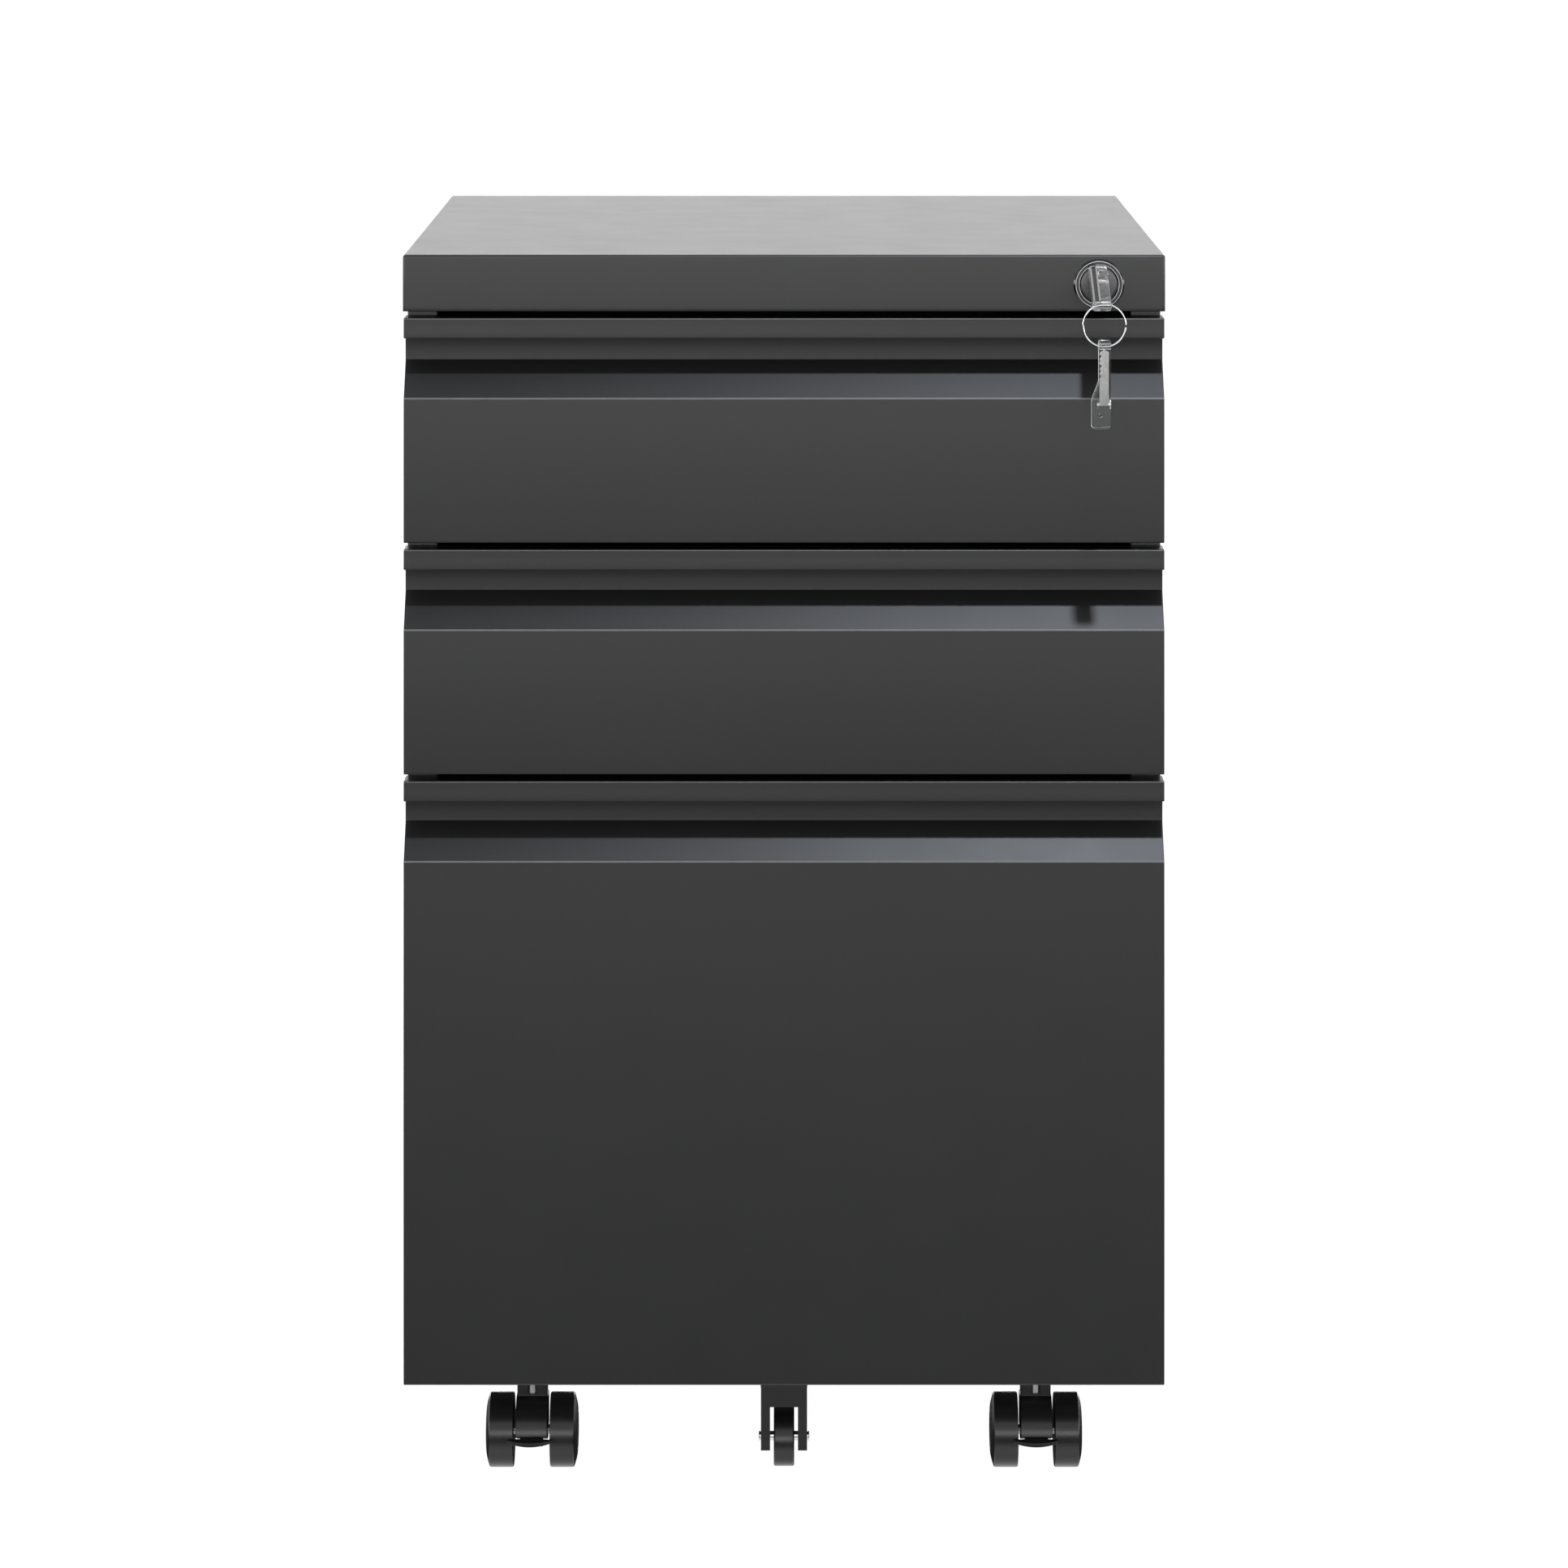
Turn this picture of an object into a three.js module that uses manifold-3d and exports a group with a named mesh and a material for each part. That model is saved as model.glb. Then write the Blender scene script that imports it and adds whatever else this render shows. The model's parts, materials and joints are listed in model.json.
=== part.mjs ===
// A rolling pedestal cabinet in folded, powder-coated sheet steel: two small drawers over a file drawer,
// each on telescopic slides, a keyed lock in the top cover, four twin-wheel casters and a fifth wheel
// under the file drawer that stops the open drawer from tipping the cabinet over.
//
// Millimetres, +Z up, the front faces -Y. The origin is on the floor, under the middle of the outline.
// Inside the cabinet group, y is measured back from the drawer fronts.

import * as THREE from "three";
import { mergeVertices } from "three/addons/utils/BufferGeometryUtils.js";
import Module from "manifold-3d";

const wasm = await Module();
wasm.setup();

// ---- Driving dimensions ------------------------------------------------------------------------------

const WIDTH = 390; // over the top cover
const DEPTH = 450; // drawer fronts to the back of the cover
const HEIGHT = 635; // floor to the top
const KEY_REACH = 51.2; // how far the hanging keys stand out in front of the drawers
const FRONT_Y = (KEY_REACH - DEPTH) / 2; // the plane of the drawer fronts

const SHEET = 1; // folded sheet steel
const PLATE = 1.5; // base panel and fifth wheel bracket
const GAP = 0.3; // between pieces that are fastened together

const COVER_HEIGHT = 29;
const FRONT_GAP = 3.3; // between one drawer front and the next
const SMALL_FRONT = 115.1; // height of a small drawer's front
const FILE_FRONT_BOTTOM = 57; // floor to the lowest drawer front

const FRONT_WIDTH = 389;
const FRONT_DEPTH = 18; // of the folded pan that makes a drawer front
const LIP_HEIGHT = 10.4; // finger grip along the top of each front
const RECESS_HEIGHT = 12.1; // upright face behind the lip
const SLOPE_HEIGHT = 18.6; // face that slopes out from the recess to the front
const RECESS_DEPTH = 16;

const BODY_HALF = WIDTH / 2 - SHEET - GAP; // outside of the carcass, inside the cover's rim
const BODY_FRONT = FRONT_DEPTH + 1.3;
const BODY_BACK = DEPTH - SHEET - GAP;
const BODY_BOTTOM = 58;
const OPENING_HALF = 178; // the drawers pass between the two front flanges
const RETURN_END = 28; // back edge of the front flanges' returns

const BOX_HALF = 168; // outside of a drawer box
const BOX_BACK = 430;
const RAIL_FRONT = 34;
const RAIL_LENGTH = 400;

const LOCK_X = 161;
const LOCK_Z = 620;
const PIN_OFFSET = 6; // the plug's drive pin from the lock's axis
const PIN_RADIUS = 2;
const BAR_FRONT = 29; // the lock bar is a flat plate behind the front flange
const BAR_BACK = 31;

const CASTER_X = 131;
const CASTER_SETBACK = 58; // wheel axle from the front plane, and from the back
const WHEEL_RADIUS = 19;
const CASTER_TRAIL = 3; // swivel axis behind the wheel axle
const FIFTH_SETBACK = 54;
const FIFTH_RADIUS = 15.2;
const FIFTH_LIFT = 1.5; // the fifth wheel hangs just clear of the floor

const WELD = 1e-4; // vertices closer than this are one vertex
const SMALL_ROUND = 16; // segments round a pin or a bore
const ROUND = 24; // segments round a wheel

// ---- Materials ---------------------------------------------------------------------------------------

function paint(color, roughness, metalness) {
  return new THREE.MeshStandardMaterial({ color, roughness, metalness });
}

const POWDER_COAT = paint(0x3c3c3c, 0.45, 0.1);
const GALVANISED = paint(0x9a9c9e, 0.4, 0.9);
const CHROME = paint(0xd8d8da, 0.12, 1);
const DARK_STEEL = paint(0x4a4a4c, 0.35, 0.8);
const CLEAR_PLASTIC = paint(0xc8ccce, 0.15, 0);
const BLACK_PLASTIC = paint(0x1a1a1a, 0.3, 0);

// ---- Solids ------------------------------------------------------------------------------------------

// A closed three.js geometry as a solid whose faces point out.
function solidOf(geometry) {
  const bare = new THREE.BufferGeometry();
  const open = geometry.index ? geometry.toNonIndexed() : geometry;
  bare.setAttribute("position", open.getAttribute("position"));
  const merged = mergeVertices(bare, WELD);
  const index = merged.index.array;
  const faces = [];
  for (let i = 0; i < index.length; i += 3) {
    const [a, b, c] = index.slice(i, i + 3);
    if (a !== b && b !== c && c !== a) faces.push([a, b, c]);
  }
  const build = (list) =>
    new wasm.Manifold(
      new wasm.Mesh({
        numProp: 3,
        vertProperties: merged.attributes.position.array,
        triVerts: new Uint32Array(list.flat()),
      }),
    );
  const made = build(faces);
  return made.volume() > 0 ? made : build(faces.map(([a, b, c]) => [a, c, b]));
}

// A box between two corners.
function block([x0, x1], [y0, y1], [z0, z1]) {
  const geometry = new THREE.BoxGeometry(x1 - x0, y1 - y0, z1 - z0);
  geometry.translate((x0 + x1) / 2, (y0 + y1) / 2, (z0 + z1) / 2);
  return solidOf(geometry);
}

// What each direction of a flat outline (across, up, along) becomes for a prism along x, y or z.
const TURNS = {
  x: new THREE.Matrix4().set(0, 0, 1, 0, 1, 0, 0, 0, 0, 1, 0, 0, 0, 0, 0, 1),
  y: new THREE.Matrix4().set(1, 0, 0, 0, 0, 0, 1, 0, 0, 1, 0, 0, 0, 0, 0, 1),
  z: new THREE.Matrix4(),
};

// An outline pushed along an axis: its points are (y, z) along x, (x, z) along y and (x, y) along z.
function prism(outline, axis, from, to, curveSegments = 8) {
  const shape = outline instanceof THREE.Shape
    ? outline
    : new THREE.Shape(outline.map(([u, v]) => new THREE.Vector2(u, v)));
  const geometry = new THREE.ExtrudeGeometry(shape, {
    depth: to - from,
    bevelEnabled: false,
    curveSegments,
  });
  geometry.translate(0, 0, from);
  geometry.applyMatrix4(TURNS[axis]);
  return solidOf(geometry);
}

// A round bar along an axis, about the point (u, v) of the plane across it.
function rod(axis, [u, v], radius, from, to, segments = SMALL_ROUND) {
  const outline = Array.from({ length: segments }, (_, i) => {
    const angle = ((i + 0.5) / segments) * 2 * Math.PI;
    return [u + radius * Math.cos(angle), v + radius * Math.sin(angle)];
  });
  return prism(outline, axis, from, to);
}

// A profile of (radius, place) points turned about the y axis, or about x or z.
function turned(profile, axis = "y", segments = ROUND) {
  const points = [...profile];
  const closesOnAxis = points[0][0] === 0 && points.at(-1)[0] === 0;
  if (!closesOnAxis) points.push(points[0]);
  const geometry = new THREE.LatheGeometry(
    points.map(([radius, place]) => new THREE.Vector2(radius, place)),
    segments,
  );
  if (axis === "x") geometry.rotateZ(-Math.PI / 2);
  if (axis === "z") geometry.rotateX(Math.PI / 2);
  return solidOf(geometry);
}

function join(...solids) {
  return solids.reduce((whole, solid) => whole.add(solid));
}

function cut(whole, ...tools) {
  return tools.reduce((rest, tool) => rest.subtract(tool), whole);
}

// A path of (u, v) points moved to the left of its own direction, with mitred corners.
function offset(path, distance) {
  const points = path.map(([u, v]) => new THREE.Vector2(u, v));
  const normals = points.slice(1).map((point, i) => {
    const along = point.clone().sub(points[i]).normalize();
    return new THREE.Vector2(-along.y, along.x);
  });
  return points.map((point, i) => {
    const before = normals[Math.max(i - 1, 0)];
    const after = normals[Math.min(i, normals.length - 1)];
    const mitre = before.clone().add(after);
    mitre.multiplyScalar(distance / (1 + before.dot(after)));
    return [point.x + mitre.x, point.y + mitre.y];
  });
}

// The outline of a sheet folded along a path.
function folded(path) {
  return [...path, ...offset(path, SHEET).reverse()];
}

// The same piece on the other side of the cabinet.
function mirrored(solid) {
  return solid.mirror([1, 0, 0]);
}

function mesh(name, solid, material) {
  const { vertProperties, triVerts } = solid.getMesh();
  const geometry = new THREE.BufferGeometry();
  geometry.setAttribute("position", new THREE.BufferAttribute(vertProperties, 3));
  geometry.setIndex(new THREE.BufferAttribute(triVerts, 1));
  const made = new THREE.Mesh(geometry, material);
  made.name = name;
  return made;
}

// ---- Casing ------------------------------------------------------------------------------------------

const COVER_BOTTOM = HEIGHT - COVER_HEIGHT;
const CAP_TOP = HEIGHT - SHEET - GAP; // the carcass ends just under the cover's top
const HEM_INSET = 0.2; // the carcass's hems lie just inside its top and bottom edges
const PANEL_BOTTOM = BODY_BOTTOM + HEM_INSET + SHEET + GAP;

// A shallow tray turned upside down over the carcass, with a hole for the lock in its front rim.
function topCover() {
  const half = WIDTH / 2;
  const holeRadius = 10.3;
  const outside = block([-half, half], [0, DEPTH], [COVER_BOTTOM, HEIGHT]);
  const inside = block(
    [-half + SHEET, half - SHEET],
    [SHEET, DEPTH - SHEET],
    [COVER_BOTTOM - SHEET, HEIGHT - SHEET],
  );
  const frontReturn = block(
    [-half + SHEET / 2, half - SHEET / 2],
    [SHEET / 2, FRONT_DEPTH],
    [COVER_BOTTOM, COVER_BOTTOM + SHEET],
  );
  const lockHole = rod("y", [LOCK_X, LOCK_Z], holeRadius, -SHEET, 2 * SHEET, ROUND);
  return cut(join(cut(outside, inside), frontReturn), lockHole);
}

// Back and both sides from one sheet, whose front edges fold in as flanges with a return.
function carcassWrap() {
  const plan = [
    [OPENING_HALF, RETURN_END],
    [OPENING_HALF, BODY_FRONT],
    [BODY_HALF, BODY_FRONT],
    [BODY_HALF, BODY_BACK],
    [-BODY_HALF, BODY_BACK],
    [-BODY_HALF, BODY_FRONT],
    [-OPENING_HALF, BODY_FRONT],
    [-OPENING_HALF, RETURN_END],
  ];
  const wall = prism(folded(plan), "z", BODY_BOTTOM, CAP_TOP);
  const hemWidth = 11;
  const hemBottoms = [BODY_BOTTOM + HEM_INSET, CAP_TOP - HEM_INSET - SHEET];
  const hems = hemBottoms.flatMap((z) => {
    const right = block(
      [BODY_HALF - hemWidth, BODY_HALF - SHEET / 2],
      [BAR_BACK + 1, BODY_BACK - SHEET / 2],
      [z, z + SHEET],
    );
    return [right, mirrored(right)];
  });
  return join(wall, ...hems);
}

// The floor tray, which stands on the carcass's lower hems and carries the caster stems.
function basePanel() {
  const half = BODY_HALF - SHEET - GAP;
  const front = RETURN_END + SHEET;
  const back = BODY_BACK - SHEET - GAP;
  const bottom = PANEL_BOTTOM;
  const rim = 18;
  const tray = cut(
    block([-half, half], [front, back], [bottom, bottom + rim]),
    block(
      [-half + PLATE, half - PLATE],
      [front + PLATE, back - PLATE],
      [bottom + PLATE, bottom + 2 * rim],
    ),
  );
  const stemHole = STEM_RADIUS + GAP;
  const holes = CASTERS.map(({ x, stem }) =>
    rod("z", [x, stem], stemHole, bottom - SHEET, bottom + 2 * PLATE),
  );
  return cut(tray, ...holes);
}

// ---- Telescopic slides -------------------------------------------------------------------------------

// Slide members on the right-hand side, about the slide's own centre height. The drawer member nests in
// the middle member, and that one in the cabinet member, with room between them for the balls.
const SLIDE = {
  drawerWeb: BOX_HALF + GAP,
  drawerEdge: BOX_HALF + 5.3,
  middleWeb: BOX_HALF + 8.8,
  middleEdge: BOX_HALF + 2.3,
  cabinetWeb: BOX_HALF + 11.5,
  cabinetEdge: BOX_HALF + 3.8,
};

function channel(webX, edgeX, halfHeight) {
  const path = [
    [edgeX, halfHeight],
    [webX, halfHeight],
    [webX, -halfHeight],
    [edgeX, -halfHeight],
  ];
  const outline = folded(webX < edgeX ? path : path.reverse());
  return prism(outline, "y", RAIL_FRONT, RAIL_FRONT + RAIL_LENGTH);
}

const FOOT_LENGTH = 14;

// A folded foot that holds the cabinet member off the side wall.
function slideFoot(y, halfHeight) {
  const wall = BODY_HALF - SHEET - GAP;
  const height = [-halfHeight / 2, halfHeight / 2];
  return join(
    block([SLIDE.cabinetWeb - SHEET / 2, wall], [y, y + SHEET], height),
    block([wall - SHEET, wall], [y, y + FOOT_LENGTH], height),
  );
}

function slideMembers(halfHeight) {
  const middleStep = 3;
  const drawerStep = 5.5;
  const footInset = 6; // from each end of the slide
  const footPlaces = [
    RAIL_FRONT + footInset,
    RAIL_FRONT + RAIL_LENGTH - footInset - FOOT_LENGTH,
  ];
  return {
    cabinet: join(
      channel(SLIDE.cabinetWeb, SLIDE.cabinetEdge, halfHeight),
      ...footPlaces.map((y) => slideFoot(y, halfHeight)),
    ),
    middle: channel(SLIDE.middleWeb, SLIDE.middleEdge, halfHeight - middleStep),
    drawer: channel(SLIDE.drawerWeb, SLIDE.drawerEdge, halfHeight - drawerStep),
  };
}

function addSlides(group, drawerName, z, halfHeight) {
  const members = slideMembers(halfHeight);
  for (const [member, solid] of Object.entries(members)) {
    const right = mesh(`${drawerName}_slide_${member}_member_right`, solid, GALVANISED);
    const left = mesh(`${drawerName}_slide_${member}_member_left`, mirrored(solid), GALVANISED);
    right.position.z = z;
    left.position.z = z;
    group.add(right, left);
  }
}

// ---- Drawers -----------------------------------------------------------------------------------------

// The side view of a drawer front, from its top back edge round the grip to its bottom back edge.
function frontPath(height, back) {
  const lipBottom = height - LIP_HEIGHT;
  const recessBottom = lipBottom - RECESS_HEIGHT;
  const slopeBottom = recessBottom - SLOPE_HEIGHT;
  return [
    [back, height],
    [0, height],
    [0, lipBottom],
    [RECESS_DEPTH, lipBottom],
    [RECESS_DEPTH, recessBottom],
    [0, slopeBottom],
    [0, 0],
    [back, 0],
  ];
}

// A folded pan, open at the back.
function drawerFront(height) {
  const half = FRONT_WIDTH / 2;
  const outside = prism(frontPath(height, FRONT_DEPTH), "x", -half, half);
  const hollow = offset(frontPath(height, FRONT_DEPTH + 1), SHEET);
  return cut(outside, prism(hollow, "x", -half + SHEET, half - SHEET));
}

const CATCH_FRONT = BAR_BACK + 1.5;
const CATCH_HEIGHT = 7;

// An open steel box with a catch on its right side for the lock bar's hook.
function drawerBox(bottom, height, catchHeight) {
  const front = FRONT_DEPTH + GAP;
  const top = bottom + height;
  const shell = cut(
    block([-BOX_HALF, BOX_HALF], [front, BOX_BACK], [bottom, top]),
    block(
      [-BOX_HALF + SHEET, BOX_HALF - SHEET],
      [front + SHEET, BOX_BACK - SHEET],
      [bottom + SHEET, top + SHEET],
    ),
  );
  const catchPlate = block(
    [BOX_HALF - SHEET / 2, OPENING_HALF - 1],
    [CATCH_FRONT, CATCH_FRONT + PLATE],
    [catchHeight, catchHeight + CATCH_HEIGHT],
  );
  return join(shell, catchPlate);
}

const SMALL_PITCH = SMALL_FRONT + FRONT_GAP;
const TOP_DRAWER_BOTTOM = COVER_BOTTOM - FRONT_GAP - SMALL_FRONT;
const MIDDLE_DRAWER_BOTTOM = TOP_DRAWER_BOTTOM - SMALL_PITCH;
const FILE_FRONT = MIDDLE_DRAWER_BOTTOM - FRONT_GAP - FILE_FRONT_BOTTOM;

// Heights of each drawer's parts, from the bottom edge of its front.
const SMALL_DRAWER = {
  front: SMALL_FRONT,
  boxBottom: 9.5,
  boxHeight: 87,
  slide: 34.5,
  slideHalf: 17.5,
  catch: 72,
};
const DRAWERS = [
  { name: "top_drawer", bottom: TOP_DRAWER_BOTTOM, ...SMALL_DRAWER },
  { name: "middle_drawer", bottom: MIDDLE_DRAWER_BOTTOM, ...SMALL_DRAWER },
  {
    name: "file_drawer",
    bottom: FILE_FRONT_BOTTOM,
    front: FILE_FRONT,
    boxBottom: 30,
    boxHeight: 248,
    slide: 200,
    slideHalf: 22.5,
    catch: 250,
  },
];

function addDrawer(cabinet, drawer) {
  const group = new THREE.Group();
  group.position.z = drawer.bottom;
  group.add(mesh(`${drawer.name}_front`, drawerFront(drawer.front), POWDER_COAT));
  const box = drawerBox(drawer.boxBottom, drawer.boxHeight, drawer.catch);
  group.add(mesh(`${drawer.name}_box`, box, POWDER_COAT));
  addSlides(group, drawer.name, drawer.slide, drawer.slideHalf);
  cabinet.add(group);
}

// ---- Lock --------------------------------------------------------------------------------------------

// About the lock's own axis, which is the y axis here.
const HOUSING_BACK = 24;
const KEYWAY_HALF = 2.8;
const KEYWAY_HEIGHT = 2.6;
const BLADE_INSERT = 12;

function lockHousing() {
  return turned([
    [10.3, -2.4],
    [11.2, -3.2],
    [12.3, -2.7],
    [12.85, -1.4],
    [12.85, -GAP],
    [9.8, -GAP],
    [9.8, HOUSING_BACK],
    [7.4, HOUSING_BACK],
    [7.4, 0.8],
    [10.3, 0.8],
  ]);
}

// The turning core: a face, a shank, a retaining disc and an eccentric pin that lifts the lock bar.
function lockPlug() {
  const disc = HOUSING_BACK + GAP;
  const body = turned([
    [0, -1.6],
    [10, -1.6],
    [10, 0.4],
    [7, 0.4],
    [7, disc],
    [8.5, disc],
    [8.5, disc + 2],
    [0, disc + 2],
  ]);
  const pinSide = -PIN_OFFSET * Math.SQRT1_2;
  const pin = rod("y", [pinSide, pinSide], PIN_RADIUS, disc + 1, BAR_BACK + 1.5);
  const keyway = block(
    [-KEYWAY_HALF, KEYWAY_HALF],
    [-5, BLADE_INSERT + 1],
    [-KEYWAY_HEIGHT / 2, KEYWAY_HEIGHT / 2],
  );
  return cut(join(body, pin), keyway);
}

// A flat plate that hangs on the plug's pin, with one hook beside each drawer's catch.
function lockBar() {
  const strip = [181.5, 191.5];
  const pinX = LOCK_X - PIN_OFFSET * Math.SQRT1_2;
  const pinZ = LOCK_Z - PIN_OFFSET * Math.SQRT1_2;
  const play = 0.6; // of the pin in its slot
  const armHalf = 5.5;
  const armReach = 12; // past the lock's axis
  const tailLength = 12; // below the lowest hook
  const hookDrop = 1; // hooks rest this far below the catches
  const hookInner = BOX_HALF + 4.5;
  const thickness = [BAR_FRONT, BAR_BACK];
  const hookTops = DRAWERS.map((drawer) => drawer.bottom + drawer.catch - hookDrop);
  const lowest = Math.min(...hookTops) - CATCH_HEIGHT - tailLength;
  const hooks = hookTops.map((top) =>
    block([hookInner, strip[0] + 1], thickness, [top - CATCH_HEIGHT, top]),
  );
  const slot = block(
    [LOCK_X - PIN_OFFSET - PIN_RADIUS - play, pinX + PIN_RADIUS + play],
    [BAR_FRONT - 1, BAR_BACK + 1],
    [pinZ - PIN_RADIUS - play, pinZ + PIN_RADIUS + play],
  );
  const plate = join(
    block(strip, thickness, [lowest, pinZ + armHalf]),
    block([LOCK_X - armReach, strip[1]], thickness, [pinZ - armHalf, pinZ + armHalf]),
    ...hooks,
  );
  return cut(plate, slot);
}

// ---- Keys --------------------------------------------------------------------------------------------

// A folding key about its hinge, which runs along x. The grip reaches out along -y, its near face just
// above the blade, and the blade reaches back along +y.
const KEY = {
  tail: 12.9, // grip behind the hinge
  reach: 32.4, // grip in front of the hinge
  ringHole: 28.9,
  halfWidth: 4.8,
  spineLeft: 0.2, // the narrow stretch keeps to the right edge
  spineStart: -11.3, // where the grip has narrowed to its spine
  neck: -2.5, // where it begins to narrow
  bladeX: 0.9,
  bladeHalf: 2.4,
  bladeLength: 27.6,
  bladeThickness: 1.8,
  gripThickness: 5,
  rise: 3.7, // middle of the grip above the hinge
};
const KEY_DROOP = THREE.MathUtils.degToRad(20); // the grip hangs down from the lock by this much
const HINGE_REACH = 16.7; // hinge in front of the drawer fronts
const RING_RADIUS = 10.55;
const WIRE_RADIUS = 0.6;
const HINGE_RADIUS = 0.85; // of the pin that joins a blade to its grip

function keyGrip() {
  const corner = 2.2;
  const endChamfer = 1;
  const { halfWidth, tail, reach, spineLeft } = KEY;
  const outline = new THREE.Shape();
  outline.moveTo(-halfWidth + corner, tail);
  outline.lineTo(halfWidth - corner, tail);
  outline.quadraticCurveTo(halfWidth, tail, halfWidth, tail - corner);
  outline.lineTo(halfWidth, -reach + endChamfer);
  outline.lineTo(halfWidth - endChamfer, -reach);
  outline.lineTo(spineLeft + endChamfer, -reach);
  outline.lineTo(spineLeft, -reach + endChamfer);
  outline.lineTo(spineLeft, KEY.spineStart);
  outline.lineTo(-halfWidth, KEY.neck);
  outline.lineTo(-halfWidth, tail - corner);
  outline.quadraticCurveTo(-halfWidth, tail, -halfWidth + corner, tail);
  const half = KEY.gripThickness / 2;
  const slab = prism(outline, "z", KEY.rise - half, KEY.rise + half, 3);
  const earRadius = 2.3;
  const earWidth = 1.2;
  const bladeSide = KEY.bladeHalf + GAP;
  const earPlaces = [KEY.bladeX - bladeSide - earWidth, KEY.bladeX + bladeSide];
  const ears = earPlaces.map((x) =>
    join(
      rod("x", [0, 0], earRadius, x, x + earWidth),
      block([x, x + earWidth], [-earRadius, earRadius], [0, KEY.rise]),
    ),
  );
  const past = KEY.halfWidth + 1;
  const bore = rod("x", [0, 0], HINGE_RADIUS + 0.35, -past, past);
  const ringHole = rod("x", [-KEY.ringHole, KEY.rise], 3 * WIRE_RADIUS, -past, past);
  return cut(join(slab, ...ears), bore, ringHole);
}

function keyBlade() {
  const { bladeX, bladeHalf, bladeLength } = KEY;
  const half = KEY.bladeThickness / 2;
  const knuckle = 1.1; // radius of the blade's root
  const pinHalf = 3.7;
  const tipSlant = 1.4;
  const tooth = 1.1;
  const firstTooth = 15.5;
  const toothPitch = 2.6;
  const left = bladeX - bladeHalf;
  const outline = [[left, 0]];
  for (let y = firstTooth; y < bladeLength - toothPitch; y += toothPitch) {
    outline.push([left, y], [left + tooth, y + toothPitch / 2]);
  }
  outline.push(
    [left + tooth / 2, bladeLength - tipSlant],
    [bladeX, bladeLength],
    [bladeX + bladeHalf, bladeLength - tipSlant],
    [bladeX + bladeHalf, 0],
  );
  return join(
    prism(outline.reverse(), "z", -half, half),
    rod("x", [0, 0], knuckle, left, bladeX + bladeHalf),
    rod("x", [0, 0], HINGE_RADIUS, bladeX - pinHalf, bladeX + pinHalf),
  );
}

function splitRing() {
  const wireSegments = 8;
  const ring = new THREE.TorusGeometry(RING_RADIUS, WIRE_RADIUS, wireSegments, 2 * ROUND);
  ring.rotateX(Math.PI / 2);
  return solidOf(ring);
}

// The key in the lock, the ring through its grip, and the spare key folded up on the ring.
function addKeys(cabinet) {
  const key = new THREE.Group();
  key.position.set(LOCK_X - KEY.bladeX, -HINGE_REACH, LOCK_Z);
  key.add(mesh("lock_key_blade", keyBlade(), DARK_STEEL));
  const grip = mesh("lock_key_grip", keyGrip(), CLEAR_PLASTIC);
  grip.rotation.x = KEY_DROOP;
  key.add(grip);
  const hole = new THREE.Vector3(0, -KEY.ringHole, KEY.rise);
  hole.applyEuler(grip.rotation);
  const spineX = (KEY.spineLeft + KEY.halfWidth) / 2;
  const ring = mesh("key_ring", splitRing(), CHROME);
  ring.position.set(spineX, hole.y, hole.z - RING_RADIUS);
  key.add(ring);
  const spare = new THREE.Group();
  spare.position.set(0, hole.y - KEY.rise, ring.position.z - RING_RADIUS - KEY.ringHole);
  const spareGrip = mesh("spare_key_grip", keyGrip(), CLEAR_PLASTIC);
  spareGrip.rotation.x = -Math.PI / 2;
  const spareBlade = mesh("spare_key_blade", keyBlade(), DARK_STEEL);
  spareBlade.rotation.x = Math.PI / 2;
  spare.add(spareGrip, spareBlade);
  key.add(spare);
  cabinet.add(key);
}

// ---- Casters -----------------------------------------------------------------------------------------

const STEM_RADIUS = 4;
const HOOD_HALF = 8.2;
const WHEEL_INNER = 9.5; // wheel's inner face from the middle of the caster
const WHEEL_OUTER = 24; // crown of its domed outer face
const CASTER_AXLE_RADIUS = 2.5;
const HOOD_RADIUS = 18;

const CASTERS = ["front", "rear"].flatMap((end) =>
  ["left", "right"].map((side) => {
    const axle = end === "front" ? CASTER_SETBACK : DEPTH - CASTER_SETBACK;
    return {
      name: `${end}_${side}_caster`,
      x: side === "left" ? -CASTER_X : CASTER_X,
      axle,
      stem: axle + CASTER_TRAIL,
      brake: end === "front",
    };
  }),
);

// About the middle of the axle.
function casterHood() {
  const outline = new THREE.Shape();
  const flatBack = 14;
  const backChamfer = 4;
  const bossRadius = 5;
  const stemBoreBottom = 7;
  outline.moveTo(-HOOD_RADIUS, 0);
  outline.lineTo(-bossRadius, 0);
  outline.absarc(0, 0, bossRadius, Math.PI, 2 * Math.PI, false);
  outline.lineTo(flatBack, 0);
  outline.lineTo(flatBack, HOOD_RADIUS - backChamfer);
  outline.lineTo(flatBack - backChamfer, HOOD_RADIUS);
  outline.lineTo(0, HOOD_RADIUS);
  outline.absarc(0, 0, HOOD_RADIUS, Math.PI / 2, Math.PI, false);
  const bore = CASTER_AXLE_RADIUS + GAP;
  const stemBore = STEM_RADIUS + GAP;
  return cut(
    prism(outline, "x", -HOOD_HALF, HOOD_HALF),
    rod("x", [0, 0], bore, -HOOD_HALF - 1, HOOD_HALF + 1),
    rod("z", [0, CASTER_TRAIL], stemBore, stemBoreBottom, HOOD_RADIUS + 1),
  );
}

function casterAxle() {
  const half = 19;
  return rod("x", [0, 0], CASTER_AXLE_RADIUS, -half, half);
}

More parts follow.
